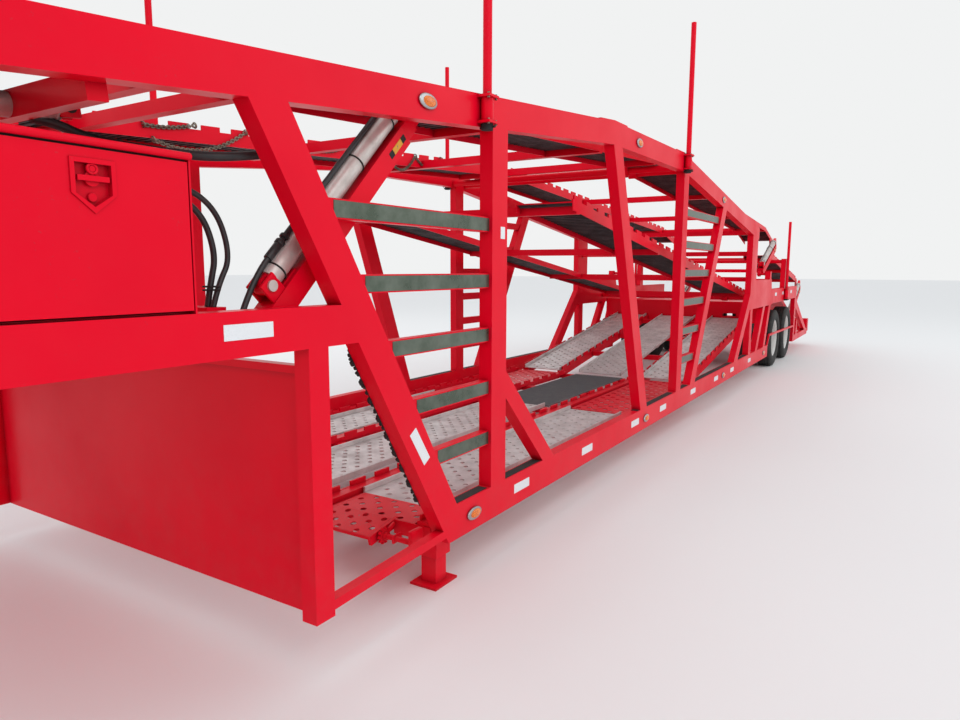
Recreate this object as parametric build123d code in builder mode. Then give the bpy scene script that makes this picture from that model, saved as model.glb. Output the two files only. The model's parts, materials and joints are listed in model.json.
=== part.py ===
from build123d import *
import math
import os

# Car transporter semi-trailer, parked on its landing legs.
# Millimetres. +X points rearwards, +Z up, ground at Z = 0, and both sides are the same.
# Lengthwise places are stations, counted rearwards from the nose.

os.makedirs("parts", exist_ok=True)

# Overall width and the tubes of the side frames
overall_width = 2590.0
tube_depth = 76.0
tube_face = 152.0
gap = 0.4
side_out = overall_width / 2
side_in = side_out - tube_depth

# Bays along the side frames, from the first post to the tail
post_one = 4254.0
middle_bay = 3406.0
rear_bay = 3340.0
wall_run = 1200.0
axle_run = 1250.0
axle_spacing = 1245.0
leg_run = 525.0
tail_run = 2180.0
post_three = post_one + middle_bay
post_five = post_three + rear_bay
beam_station = post_five + wall_run
front_axle = beam_station + axle_run
rear_axle = front_axle + axle_spacing
rear_leg_front = rear_axle + leg_run
overall_length = rear_leg_front + tail_run

# Rails
bottom_rail_low = 255.0
bottom_rail_high = 433.0
bottom_rail_end = beam_station + 350
neck_rail_low = 1300.0
neck_rail_high = 1452.0
top_rail_drop = 155.0
# station, height of the top edge
top_rail_line = [(50, 2010), (post_one + 1646, 2606), (post_three - 20, 2630), (post_five + 400, 2151)]
splice_half = 250.0
splice_thickness = 8.0

# Front diagonal and rear-leaning ladder post
diagonal_station = 2730.0
diagonal_height = 2150.0
diagonal_lean = -0.595
diagonal_face = 178.0
ladder_post_station = post_three + 490
ladder_post_lean = 0.585
ladder_post_face = 178.0
post_two_foot = post_one + 2396
post_two_face = 163.0
post_two_lean = -0.372
post_five_face = 350.0
brace_run = 610.0
brace_width = 150.0

# Ladders
rung_height = 76.0
rung_in = side_in + 10
rung_out = side_out - 20
front_rungs = [1850, 1566, 1288, 1010, 740]
rear_rungs = [2160, 1860, 1590, 1310, 1030, 750]

# Side plate over the wheels, rear frame and bumper
plate_low = 1050.0
plate_high = 1440.0
plate_step = beam_station + 450
fender_low = 1070.0
fender_high = 1285.0
rear_leg_face = 160.0
fender_end = rear_leg_front + rear_leg_face
rear_bar_low = 250.0
rear_bar_high = 360.0
bumper_depth = 160.0
bumper_low = 300.0
bumper_high = 560.0
bumper_front = overall_length - bumper_depth
tail_lamp_depth = 12.0
tail_lamp_low = 380.0
tail_lamp_high = 480.0
# inner and outer edge across the trailer
tail_lamp_spans = [(side_out - 560, side_out - 380), (side_out - 340, side_out - 160)]
marker_stations = [post_one - 554, post_three - 1250, post_five - 1780]

# Running gear
axle_height = 465.0
tyre_radius = 465.0
tyre_width = 245.0
tyre_shoulder = 30.0
rim_radius = 298.0
rim_width = 190.0
rim_wall = 18.0
dish_depth = 62.0
hub_radius = 120.0
twin_spacing = 330.0
outer_tyre_y = side_out - 153
axle_radius = 64.0
axle_half = outer_tyre_y - 142
spring_y = 520.0
spring_half = 430.0
axle_stations = {"front": front_axle, "rear": rear_axle}

# Neck and bulkhead
bulkhead_front = 2970.0
bulkhead_rear = 3070.0
bulkhead_low = 235.0
neck_beam_y = 420.0
neck_beam_half = 50.0
kingpin_station = 650.0
kingpin_radius = 25.4
kingpin_length = 90.0
coupler_low = 1195.0
coupler_thickness = 12.0
hose_shelf = 2730.0
hose_shelf_half = side_in - 164
shelf_hose_y = hose_shelf_half - 55
shelf_hose_high = 1850.0

# Tool lockers
locker_front = 1300.0
locker_rear = 2520.0
locker_high = 1925.0
locker_depth = 440.0
locker_wall = 5.0
locker_lid = 18.0
door_clear = 10.0
door_pin_radius = 5.0
door_pin_inset = 10.0
door_thickness = 30.0
latch_width = 120.0
latch_top = 1870.0
latch_shoulder = 1780.0
latch_foot = 1730.0
latch_inset = 350.0

# Lower deck
floor_front = post_one - 394
floor_high = 340.0
member_high = floor_high - 40
plank_end = post_one + 2696
ramp_foot = post_three + 1290
ramp_high = 850.0
beam_low = 780.0
slot_y = 775.0
axle_deck_high = 1100.0
track_out = side_in - 197
track_in = track_out - 500
centre_half = 270.0
track_base = 8.0
end_plate = 12.0
lip_width = 6.0
lip_height = 32.0
rail_overhang = 22.0

# Platforms: stations and heights of the top surface along each deck
skid_in = 600.0
skid_out = side_in - 159
skid_flange = 60.0
plate_thickness = 8.0
cross_tube = 60.0
tooth_pitch = 220.0
tooth_width = 130.0
tooth_low = 18.0
tooth_high = 48.0
front_deck_line = [(60, 2040), (2950, 2334)]
upper_deck_line = [(3080, 2347), (post_three + 20, 2612)]
rear_deck_line = [(post_three + 132, 2612), (front_axle - 250, 2262), (front_axle + 500, 2080)]
middle_deck_line = [(post_one + 1496, 2062), (beam_station - 300, 1238)]
tail_deck_line = [(front_axle + 450, 1830), (overall_length - 300, 1380)]

# Hinge shafts: station, height
shaft_radius = 30.0
knuckle_half = 46.0
knuckle_in = 700.0
knuckle_out = 780.0
upper_hinge = (post_three - 40, 2510)
rear_hinge = (post_three + 190, 2510)
middle_hinge = (beam_station - 190, 1165)
tail_hinge = (front_axle + 500, 1725)

# Lift legs: station and height of the foot pin and of the head pin
leg_y = side_in - 94
leg_tube = 90.0
leg_slide = 74.0
leg_pin_radius = 20.0
leg_eye_radius = 38.0
leg_lines = {
    "upper": (2873, 1340, 3818, 2285),
    "rear": (beam_station + 300, 1520, front_axle + 300, 1990),
    "tail": (rear_leg_front + 430, 600, overall_length - 400, 1250),
}
cylinder_offset = 96.0
barrel_radius = 42.0
rod_radius = 20.0
hose_radius = 11.0

# Slide cylinders of the front deck
slide_y = 790.0
slide_w = -190.0
slide_lug = 900.0
slide_barrel_radius = 38.0


def x_at(station):
    return station - overall_length / 2


def prism(outline, y_low, y_high, mode=Mode.ADD):
    """Outline of (station, height) points, extruded across the trailer."""
    with BuildSketch(Plane.XZ.offset(-y_high)) as sketch:
        with BuildLine():
            Polyline(*[(x_at(s), z) for s, z in outline], close=True)
        make_face()
    extrude(sketch.sketch, amount=y_high - y_low, mode=mode)


def both_sides(outline, y_low, y_high, mode=Mode.ADD):
    """The same outline on the left and on the right."""
    prism(outline, y_low, y_high, mode)
    prism(outline, -y_high, -y_low, mode)


def rectangle(s_low, s_high, z_low, z_high):
    return [(s_low, z_low), (s_high, z_low), (s_high, z_high), (s_low, z_high)]


def cross_rod(station, height, radius, y_low, y_high, mode=Mode.ADD):
    with BuildSketch(Plane.XZ.offset(-y_high)) as sketch:
        with Locations((x_at(station), height)):
            Circle(radius)
    extrude(sketch.sketch, amount=y_high - y_low, mode=mode)


def both_rods(station, height, radius, y_low, y_high, mode=Mode.ADD):
    cross_rod(station, height, radius, y_low, y_high, mode)
    cross_rod(station, height, radius, -y_high, -y_low, mode)


class Line:
    """A sloping line in the side view: u runs along it, w stands on it."""

    def __init__(self, s_front, z_front, s_rear, z_rear):
        self.start = (s_front, z_front)
        self.length = math.hypot(s_rear - s_front, z_rear - z_front)
        self.along = ((s_rear - s_front) / self.length, (z_rear - z_front) / self.length)

    def at(self, u, w):
        c, s = self.along
        return (self.start[0] + u * c - w * s, self.start[1] + u * s + w * c)

    def slab(self, u_low, u_high, w_low, w_high):
        return [self.at(u_low, w_low), self.at(u_high, w_low), self.at(u_high, w_high), self.at(u_low, w_high)]

    def plane(self, u, y, w):
        """Plane across the line, its normal along it."""
        s, z = self.at(u, w)
        return Plane(origin=(x_at(s), y, z), x_dir=(0, 1, 0), z_dir=(self.along[0], 0, self.along[1]))


def round_bar(line, u_low, u_high, y, w, radius, mode=Mode.ADD):
    with BuildSketch(line.plane(u_low, y, w)) as sketch:
        Circle(radius)
    extrude(sketch.sketch, amount=u_high - u_low, mode=mode)


def height_at(points, station):
    for (s0, z0), (s1, z1) in zip(points, points[1:]):
        if station <= s1:
            return z0 + (z1 - z0) * (station - s0) / (s1 - s0)
    return points[-1][1]


def band(points, low, high):
    """A strip that follows the line of points, between two heights above it."""
    return [(s, z + high) for s, z in points] + [(s, z + low) for s, z in reversed(points)]


def notched_band(points, low, high):
    """A tie-down edge along the line of points: teeth on a low strip."""
    top = []
    station = points[0][0] + 20
    while station + tooth_width < points[-1][0] - 20:
        for s, w in ((station, low), (station, high), (station + tooth_width, high), (station + tooth_width, low)):
            top.append((s, height_at(points, s) + w))
        station += tooth_pitch
    ends = [(points[0][0], points[0][1] + low)], [(points[-1][0], points[-1][1] + low)]
    return ends[0] + top + ends[1] + [(s, z) for s, z in reversed(points)]


def rail_top(station):
    return height_at(top_rail_line, station)


def rail_under(station):
    return rail_top(station) - top_rail_drop


def rail_hit(foot_station, foot_height, lean):
    """Where a leaning edge meets the top rail's underside."""
    for (s0, z0), (s1, z1) in zip(top_rail_line, top_rail_line[1:]):
        slope = (z1 - z0) / (s1 - s0)
        start = z0 - top_rail_drop
        height = (start + slope * (foot_station - lean * foot_height - s0)) / (1 - slope * lean)
        station = foot_station + lean * (height - foot_height)
        if s0 <= station <= s1:
            return (station, height)
    raise ValueError("the edge misses the top rail")


def diagonal_front(height):
    return diagonal_station + diagonal_lean * (height - diagonal_height)


def diagonal_rear(height):
    return diagonal_front(height) + diagonal_face


def ladder_post_front(height):
    return ladder_post_station + ladder_post_lean * (height - bottom_rail_high)


def leaning_post(foot_station, lean, face, foot_height):
    return [
        (foot_station, foot_height),
        (foot_station + face, foot_height),
        rail_hit(foot_station + face, foot_height, lean),
        rail_hit(foot_station, foot_height, lean),
    ]


def hinge_plane(station, side):
    """Plane across the locker door's hinge line, its normal rearwards."""
    across = side * (side_out - 1 - door_pin_inset)
    origin = (x_at(station), across, neck_rail_high + door_clear + door_pin_inset)
    return Plane(origin=origin, x_dir=(0, 1, 0), z_dir=(1, 0, 0))


def save(builder, name):
    builder.part.label = name
    export_step(builder.part, f"parts/{name}.step")


# Top rails: one bent box rail each side
with BuildPart() as top_rails:
    both_sides(band(top_rail_line, -top_rail_drop, 0), side_in, side_out)
    for bend, high in top_rail_line[1:3]:
        ends = [(s, rail_top(s)) for s in (bend - splice_half, bend + splice_half)]
        splice = [ends[0], (bend, high), ends[1]]
        both_sides(band(splice, 0, splice_thickness), side_in, side_out)
save(top_rails, "top_rails")

# Bottom rails of the well and the neck rails, cut to the diagonal's slope
with BuildPart() as lower_rails:
    both_sides([
        (diagonal_rear(bottom_rail_low), bottom_rail_low),
        (bottom_rail_end, bottom_rail_low),
        (bottom_rail_end, bottom_rail_high),
        (diagonal_rear(bottom_rail_high), bottom_rail_high),
    ], side_in, side_out)
    both_sides([
        (0, neck_rail_low),
        (diagonal_front(neck_rail_low), neck_rail_low),
        (diagonal_front(neck_rail_high), neck_rail_high),
        (0, neck_rail_high),
    ], side_in, side_out)
save(lower_rails, "lower_rails")

# Diagonals, posts and braces
with BuildPart() as side_posts:
    both_sides([
        (diagonal_front(bottom_rail_low), bottom_rail_low),
        (diagonal_rear(bottom_rail_low), bottom_rail_low),
        rail_hit(diagonal_rear(bottom_rail_low), bottom_rail_low, diagonal_lean),
        rail_hit(diagonal_front(bottom_rail_low), bottom_rail_low, diagonal_lean),
    ], side_in, side_out)
    # foot station, lean, face, foot height
    for foot, lean, face, low in [
        (60, 0, 100, neck_rail_high),
        (1130, 0, 100, neck_rail_high),
        (post_one, 0, tube_face, bottom_rail_high),
        (post_two_foot, post_two_lean, post_two_face, bottom_rail_high),
        (post_three, 0, tube_face, bottom_rail_high),
        (ladder_post_station, ladder_post_lean, ladder_post_face, bottom_rail_high),
    ]:
        both_sides(leaning_post(foot, lean, face, low), side_in, side_out)
save(side_posts, "side_posts")

with BuildPart() as side_braces:
    post_one_rear = post_one + tube_face
    both_sides([
        (post_one_rear, bottom_rail_high + brace_run - brace_width),
        (post_one_rear + brace_run - brace_width, bottom_rail_high),
        (post_one_rear + brace_run, bottom_rail_high),
        (post_one_rear, bottom_rail_high + brace_run),
    ], side_in, side_out)
    rise = plate_low - bottom_rail_high
    both_sides([
        (post_five - rise - 213, bottom_rail_high),
        (post_five - rise, bottom_rail_high),
        (post_five, plate_low),
        (post_five, plate_low + 213),
    ], side_in, side_out)
    # foot station, top station, face
    for foot, top, face in [
        (post_five + 60, post_five + 60, 150),
        (post_five + 540, post_five + 1000, 150),
        (beam_station - 50, beam_station + 280, 150),
    ]:
        both_sides([
            (foot, bottom_rail_high),
            (foot + face, bottom_rail_high),
            (top + face, plate_low),
            (top, plate_low),
        ], side_in, side_out)
save(side_braces, "side_braces")

# Ladder rungs
with BuildPart() as ladder_rungs:
    for high in front_rungs:
        low = high - rung_height
        both_sides([
            (diagonal_rear(high), high),
            (post_one, high),
            (post_one, low),
            (diagonal_rear(low), low),
        ], rung_in, rung_out)
    for high in rear_rungs:
        low = high - rung_height
        both_sides([
            (post_three + tube_face, high),
            (ladder_post_front(high), high),
            (ladder_post_front(low), low),
            (post_three + tube_face, low),
        ], rung_in, rung_out)
save(ladder_rungs, "ladder_rungs")

# Rear posts with the side plates over the wheels
with BuildPart() as side_plates:
    both_sides([
        (post_five, plate_low),
        (plate_step, plate_low),
        (plate_step + 150, fender_low),
        (fender_end, fender_low),
        (fender_end, fender_high),
        (plate_step, fender_high),
        (plate_step - 60, plate_high),
        (post_five + post_five_face, plate_high),
        (post_five + post_five_face, rail_under(post_five + post_five_face)),
        (post_five, rail_under(post_five)),
    ], side_in, side_out)
save(side_plates, "side_plates")

# Rear frames behind the wheels
with BuildPart() as rear_frames:
    leg_rear = fender_end
    both_sides([
        (rear_leg_front, rear_bar_low),
        (bumper_front, rear_bar_low),
        (bumper_front, rear_bar_high),
        (leg_rear, rear_bar_high),
        (leg_rear, fender_low),
        (rear_leg_front, fender_low),
    ], side_in, side_out)
    both_sides([(leg_rear, 880), (leg_rear, 1040), (overall_length - 300, rear_bar_high),
                (overall_length - 580, rear_bar_high)], side_in, side_out)
save(rear_frames, "rear_frames")

# Rear bumper
with BuildPart() as bumper:
    prism(rectangle(bumper_front, overall_length, bumper_low, bumper_high), -side_out, side_out)
    for low, high in tail_lamp_spans:
        both_sides(rectangle(overall_length - tail_lamp_depth, overall_length + 1, tail_lamp_low, tail_lamp_high),
                   low, high, mode=Mode.SUBTRACT)
save(bumper, "bumper")

# Side marker lamps on the rails and tail lamps let into the bumper
with BuildPart() as marker_lamps:
    lamp_half, lamp_rise, lamp_depth = 48, 24, 14
    top_lamps = [(station, rail_top(station) - top_rail_drop / 2) for station in marker_stations]
    low_lamps = [(station + 380, (bottom_rail_low + bottom_rail_high) / 2) for station in marker_stations]
    for s, z in top_lamps + low_lamps + [(bottom_rail_end - 340, (bottom_rail_low + bottom_rail_high) / 2)]:
        both_sides([
            (s - lamp_half, z - 10), (s - lamp_half / 2, z - lamp_rise), (s + lamp_half / 2, z - lamp_rise),
            (s + lamp_half, z - 10), (s + lamp_half, z + 10), (s + lamp_half / 2, z + lamp_rise),
            (s - lamp_half / 2, z + lamp_rise), (s - lamp_half, z + 10),
        ], side_out, side_out + lamp_depth)
    for low, high in tail_lamp_spans:
        both_sides(rectangle(overall_length - tail_lamp_depth, overall_length, tail_lamp_low + gap,
                             tail_lamp_high - gap), low + gap, high - gap)
save(marker_lamps, "marker_lamps")

# Bulkhead: corner posts, sheet and lip
with BuildPart() as bulkhead:
    both_sides(rectangle(bulkhead_front, bulkhead_rear, bulkhead_low, neck_rail_low), side_in, side_out)
    prism(rectangle(bulkhead_front + 60, bulkhead_front + 66, bulkhead_low, 1230), -side_in, side_in)
    prism(rectangle(bulkhead_front + 20, bulkhead_front + 60, 1200, 1230), -side_in, side_in)
    both_sides([
        (bulkhead_rear, 260), (diagonal_front(290), 290), (diagonal_front(330), 330), (bulkhead_rear, 300),
    ], side_out - 50, side_out)
save(bulkhead, "bulkhead")

# Neck frame: nose beam, longitudinal beams, cross members, coupler plate
with BuildPart() as neck_frame:
    prism(rectangle(0, 100, neck_rail_low, neck_rail_high), -side_in, side_in)
    beam_in, beam_out = neck_beam_y - neck_beam_half, neck_beam_y + neck_beam_half
    both_sides(rectangle(100, bulkhead_front, coupler_low + coupler_thickness, neck_rail_high), beam_in, beam_out)
    # station, reach from the centre line
    for station, reach in [(1250, side_in), (1900, side_in), (2500, side_in), (hose_shelf, hose_shelf_half)]:
        member = rectangle(station, station + 80, neck_rail_low, neck_rail_high)
        both_sides(member, beam_out, reach)
        prism(member, -beam_in, beam_in)
    prism(rectangle(150, 1150, coupler_low, coupler_low + coupler_thickness), -beam_out, beam_out)
    with BuildSketch(Plane.XY.offset(coupler_low - kingpin_length)) as pin_section:
        with Locations((x_at(kingpin_station), 0)):
            Circle(kingpin_radius)
    extrude(pin_section.sketch, amount=kingpin_length)
save(neck_frame, "neck_frame")

# Tool lockers
locker_in = side_out - locker_depth
locker_face = side_out - door_thickness - 2
with BuildPart() as lockers:
    both_sides(rectangle(locker_front, locker_rear, neck_rail_high, locker_high), locker_in, locker_face)
    both_sides(rectangle(locker_front + locker_wall, locker_rear - locker_wall, neck_rail_high + locker_wall,
                         locker_high - locker_wall), locker_in + locker_wall, locker_face + 1, mode=Mode.SUBTRACT)
    both_sides(rectangle(locker_front, locker_rear, locker_high - locker_lid, locker_high), locker_face, side_out)
    # front and rear of each jamb, end of its hinge pin
    for front, rear, tip in [
        (locker_front, locker_front + 6, locker_front + 36),
        (locker_rear - 6, locker_rear, locker_rear - 36),
    ]:
        both_sides(rectangle(front, rear, neck_rail_high, locker_high - locker_lid), locker_face, side_out)
        for side in (-1, 1):
            with BuildSketch(hinge_plane(front, side)) as pin_section:
                Circle(door_pin_radius)
            extrude(pin_section.sketch, amount=tip - front)
save(lockers, "lockers")

# Locker doors with two recessed latches each: pointed bezel, round boss and turning bar
latch_half = latch_width / 2
door_face = side_out - 1
for side_name, side in (("left", -1), ("right", 1)):
    with BuildPart() as locker_door:
        prism(rectangle(locker_front + door_clear, locker_rear - door_clear,
                        neck_rail_high + door_clear, locker_high - locker_lid - door_clear),
              *sorted((side * (side_out - door_thickness), side * door_face)))
        with BuildSketch(hinge_plane(locker_front, side)) as pin_section:
            Circle(door_pin_radius + gap)
        extrude(pin_section.sketch, amount=locker_rear - locker_front, mode=Mode.SUBTRACT)
        for centre in (locker_front + latch_inset, locker_rear - latch_inset + latch_half):
            for inset, depth, mode in [(0, 4, Mode.ADD), (12, -14, Mode.SUBTRACT)]:
                bezel = [
                    (centre - latch_half + inset, latch_top - inset), (centre + latch_half - inset, latch_top - inset),
                    (centre + latch_half - inset, latch_shoulder), (centre, latch_foot + 1.4 * inset),
                    (centre - latch_half + inset, latch_shoulder),
                ]
                outer = door_face + 4 if mode == Mode.SUBTRACT else door_face + depth
                inner = door_face + depth if mode == Mode.SUBTRACT else door_face
                prism(bezel, *sorted((side * inner, side * outer)), mode)
            boss_height = latch_top - 50
            cross_rod(centre, boss_height, 20, *sorted((side * (door_face - 14), side * (door_face - 4))))
            prism(rectangle(centre - 42, centre + 42, boss_height - 7, boss_height + 7),
                  *sorted((side * (door_face - 4), side * (door_face + 4))))
    save(locker_door, f"locker_door_{side_name}")

# Landing legs: post and foot plate under the front corners of the well
with BuildPart() as landing_legs:
    landing_y = side_in - 69
    # half length, half width, low and high of the post, the sliding post and the foot
    for half_length, half_width, low, high in [(60, 60, 150, bottom_rail_low), (45, 45, 12, 150), (95, 80, 0, 12)]:
        middle = floor_front + 70
        both_sides(rectangle(middle - half_length, middle + half_length, low, high),
                   landing_y - half_width, landing_y + half_width)
save(landing_legs, "landing_legs")

# Lower deck frame
tie_inner = (track_in - 97, track_in - 17)
tie_outer = (side_in - 119, side_in - 39)
with BuildPart() as floor_frame:
    stations = [floor_front + 1000 * i for i in range(5)] + [ramp_foot - 80]
    for station in stations:
        prism(rectangle(station, station + 80, bottom_rail_low, member_high), -side_in, side_in)
    for y_low, y_high in [(track_in - 42, track_in + 18), (side_in - 109, side_in - 49)]:
        for front, rear in zip(stations, stations[1:]):
            both_sides(rectangle(front + 80, rear, bottom_rail_low, member_high), y_low, y_high)
save(floor_frame, "floor_frame")


def plank(line, y_low, y_high, under=0):
    """A channel plank with turned-up lips, its underside along the line of points."""
    prism(band(line, under, under + track_base), y_low, y_high)
    for lip in (y_low, y_high - lip_width):
        prism(band(line, under + track_base, under + track_base + lip_height), lip, lip + lip_width)


track_spans = [(-track_out, -track_in), (-centre_half, centre_half), (track_in, track_out)]
with BuildPart() as floor_tracks:
    for y_low, y_high in track_spans:
        plank([(floor_front + 250, member_high), (plank_end, member_high)], y_low, y_high)
save(floor_tracks, "floor_tracks")

# Notched tie-down rails of the lower deck
with BuildPart() as floor_tie_rails:
    rail_line = [(floor_front, member_high), (ramp_foot - 20, member_high)]
    for y_low, y_high in (tie_inner, tie_outer):
        both_sides(band(rail_line, 0, 30), y_low, y_high)
        both_sides(notched_band([(s, z + 30) for s, z in rail_line], 2, 30), y_low, y_low + 12)
save(floor_tie_rails, "floor_tie_rails")

# Sloping end plates, plates behind the planks and the centre mat of the lower deck
with BuildPart() as floor_grates:
    plate_high_z = member_high + end_plate
    both_sides(band([(floor_front - 220, plate_high_z - 47), (floor_front, plate_high_z),
                     (floor_front + 240, plate_high_z)], -end_plate, 0), track_in + 20, track_out + 60)
    rear_plate = rectangle(plank_end + 10, ramp_foot - 20, member_high, plate_high_z)
    both_sides(rear_plate, track_in, track_out)
    prism(rear_plate, -centre_half - 30, centre_half + 30)
    # ratchet shaft across each end plate: lugs, shaft, toothed wheel and its housing
    shaft_station, shaft_height, wheel_y = floor_front - 130, member_high + 4, track_out + 66
    for lug in (track_in + 60, track_out - 10):
        both_sides([(shaft_station - 30, shaft_height - 30), (shaft_station + 50, shaft_height - 14),
                    (shaft_station + 20, shaft_height + 24), (shaft_station - 20, shaft_height + 24)], lug, lug + 12)
    both_rods(shaft_station, shaft_height, 14, track_in + 60, side_in - 30)
    wheel_outline = []
    for tooth in range(12):
        for turn, radius in ((0.0, 38), (0.25, 48), (0.55, 48), (0.6, 38)):
            angle = math.tau * (tooth + turn) / 12
            wheel_outline.append((shaft_station + radius * math.cos(angle), shaft_height + radius * math.sin(angle)))
    both_sides(wheel_outline, wheel_y, wheel_y + 14)
    both_sides(rectangle(shaft_station - 45, shaft_station + 45, shaft_height - 34, shaft_height + 60),
               side_in - 60, side_in - 30)
save(floor_grates, "floor_grates")

# Incline from the floor up to the axle deck
ramp = [(ramp_foot, floor_high), (beam_station, ramp_high)]
with BuildPart() as ramp_tracks:
    for y_low, y_high in track_spans:
        plank(ramp, y_low, y_high, -track_base)
save(ramp_tracks, "ramp_tracks")
with BuildPart() as ramp_frame:
    for y_low, y_high in [(track_in - rail_overhang, track_in + 38), (track_out - 38, track_out + rail_overhang)]:
        both_sides(band(ramp, -90, -track_base), y_low, y_high)
    for y_low in (track_in - rail_overhang, track_out + rail_overhang - 12):
        both_sides(notched_band([(s, z - track_base) for s, z in ramp], 10, 46), y_low, y_low + 12)
    for station in (ramp_foot + 950, ramp_foot + 1950, ramp_foot + 2950):
        top = height_at(ramp, station) - track_base
        prism(rectangle(station, station + 60, top - 60, top), -track_out, track_out)
save(ramp_frame, "ramp_frame")

# Axle deck: beam wall, deck beams and plate over the wheels, slope down to the bumper
deck_end = fender_end + 70
with BuildPart() as axle_deck:
    prism(rectangle(beam_station, beam_station + 80, beam_low, axle_deck_high), -side_in, side_in)
    both_sides(rectangle(beam_station - 1, beam_station + 81, ramp_high + 25, ramp_high + 70),
               slot_y - 100, slot_y + 100, mode=Mode.SUBTRACT)
    both_sides(rectangle(beam_station + 80, rear_leg_front, 960, axle_deck_high - 60), spring_y - 50, spring_y + 50)
    prism(rectangle(beam_station + 80, deck_end, axle_deck_high - 60, axle_deck_high - 45), -side_in, side_in)
save(axle_deck, "axle_deck")

with BuildPart() as rear_entry:
    slope = [(deck_end, axle_deck_high - 45), (bumper_front, bumper_high)]
    entry_in, entry_out = 480, leg_y - 95
    both_sides(band(slope, -track_base, 0), entry_in, entry_out)
    for rib in (entry_in, entry_out - 60):
        both_sides(band(slope, -80, -track_base), rib, rib + 60)
save(rear_entry, "rear_entry")

# Axles, springs and hangers
with BuildPart() as axles:
    for station in axle_stations.values():
        cross_rod(station, axle_height, axle_radius, -axle_half, axle_half)
save(axles, "axles")
with BuildPart() as suspension:
    pad_low, pad_high = axle_height + 20, axle_height + axle_radius + 45
    for station in axle_stations.values():
        for y in (-spring_y, spring_y):
            front, rear = station - spring_half, station + spring_half
            # three leaves, the longest on top, bowed down onto the axle pad
            for rise, reach in ((0, spring_half), (-12, spring_half - 120), (-24, spring_half - 240)):
                leaf = [(station - reach, pad_high + rise + reach / 6), (station, pad_high + rise),
                        (station + reach, pad_high + rise + reach / 6)]
                prism(band(leaf, 0, 12), y - 38, y + 38)
            prism(rectangle(station - 60, station + 60, pad_low, pad_high), y - 38, y + 38)
            cross_rod(station, axle_height, axle_radius, y - 39, y + 39, mode=Mode.SUBTRACT)
            for end in (front, rear):
                prism([(end - 40, pad_high + 40), (end + 40, pad_high + 40), (end + 60, 960), (end - 60, 960)],
                      y - 38, y + 38)
save(suspension, "suspension")

# Twin wheels: tyres and rims, one body for each end of each axle
tyre_half = tyre_width / 2
rim_half = rim_width / 2
for axle_name, station in axle_stations.items():
    for side_name, side in (("left", -1), ("right", 1)):
        inner_y = outer_tyre_y - twin_spacing
        with BuildPart() as tyres:
            for y, facing in ((outer_tyre_y, side), (inner_y, -side)):
                flank = facing * tyre_half
                centre = (x_at(station), side * y, axle_height)
                with BuildSketch(Plane(origin=centre, x_dir=(1, 0, 0), z_dir=(0, 0, 1))) as section:
                    with BuildLine():
                        Polyline(
                            (rim_radius, -flank), (rim_radius, flank), (tyre_radius - tyre_shoulder, flank),
                            (tyre_radius, flank - facing * tyre_shoulder), (tyre_radius, -flank), close=True,
                        )
                    make_face()
                revolve(section.sketch, axis=Axis(centre, (0, 1, 0)))
        save(tyres, f"tyres_{axle_name}_{side_name}")
        with BuildPart() as wheel:
            # from, to across the trailer, radius and whether it is cut away
            for low, high, radius, mode in [
                (inner_y - rim_half, inner_y + rim_half, rim_radius, Mode.ADD),
                (outer_tyre_y - rim_half, outer_tyre_y + rim_half, rim_radius, Mode.ADD),
                (inner_y - rim_half, inner_y - rim_half + dish_depth, rim_radius - rim_wall, Mode.SUBTRACT),
                (outer_tyre_y + rim_half - dish_depth, outer_tyre_y + rim_half, rim_radius - rim_wall, Mode.SUBTRACT),
                (inner_y - rim_half, outer_tyre_y + rim_half - 8, hub_radius, Mode.ADD),
                (inner_y - rim_half - 1, axle_half + 2, axle_radius + gap, Mode.SUBTRACT),
            ]:
                cross_rod(station, axle_height, radius, *sorted((side * low, side * high)), mode)
        save(wheel, f"wheel_{axle_name}_{side_name}")


def deck_skids(points, teeth_y, tubes):
    """Two channel skids with notched tie-down edges, joined by cross tubes."""
    both_sides(band(points, -plate_thickness, 0), skid_in, skid_out)
    for lip in (skid_in, skid_out - 8):
        both_sides(band(points, -skid_flange, -plate_thickness), lip, lip + 8)
    both_sides(notched_band(points, tooth_low, tooth_high), teeth_y - 6, teeth_y + 6)
    for s in tubes:
        top = min(height_at(points, s), height_at(points, s + cross_tube)) - plate_thickness
        prism(rectangle(s, s + cross_tube, top - cross_tube, top + 4), -skid_out, skid_out)


def knuckles(points, station, hinge, y_low, y_high):
    """Hinge knuckles round a shaft, with a web back to the deck."""
    z = height_at(points, station) - 4
    s, height = hinge
    reach = knuckle_half if s > station else -knuckle_half
    corner = reach / 2.4
    both_sides([
        (station, z), (station, z - 54), (s, height - knuckle_half), (s + corner, height - knuckle_half),
        (s + reach, height - abs(corner)), (s + reach, height + abs(corner)), (s + corner, height + knuckle_half),
        (s, height + knuckle_half),
    ], y_low, y_high)
    both_rods(s, height, shaft_radius + gap, y_low, y_high, mode=Mode.SUBTRACT)


def head_lugs(points, pin):
    """Lugs on the skids' outer edges, opposite the lift legs' head pins."""
    s, z = pin
    top = height_at(points, s) - 20
    both_sides([(s - 45, z - 40), (s + 45, z - 40), (s + 100, top), (s - 100, top)], skid_out - 14, skid_out + 6)


with BuildPart() as upper_deck:
    deck_skids(upper_deck_line, skid_in + 6, (3180, post_one + 446, post_three - 1460, post_three - 180))
    knuckles(upper_deck_line, post_three - 140, upper_hinge, knuckle_in, knuckle_out)
    head_lugs(upper_deck_line, leg_lines["upper"][2:])
save(upper_deck, "upper_deck")

with BuildPart() as rear_deck:
    deck_skids(rear_deck_line, skid_in + 6, (post_three + 300, post_five - 1300, post_five + 500, front_axle - 330))
    knuckles(rear_deck_line, post_three + 290, rear_hinge, knuckle_in, knuckle_out)
    head_lugs(rear_deck_line, leg_lines["rear"][2:])
save(rear_deck, "rear_deck")

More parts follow.
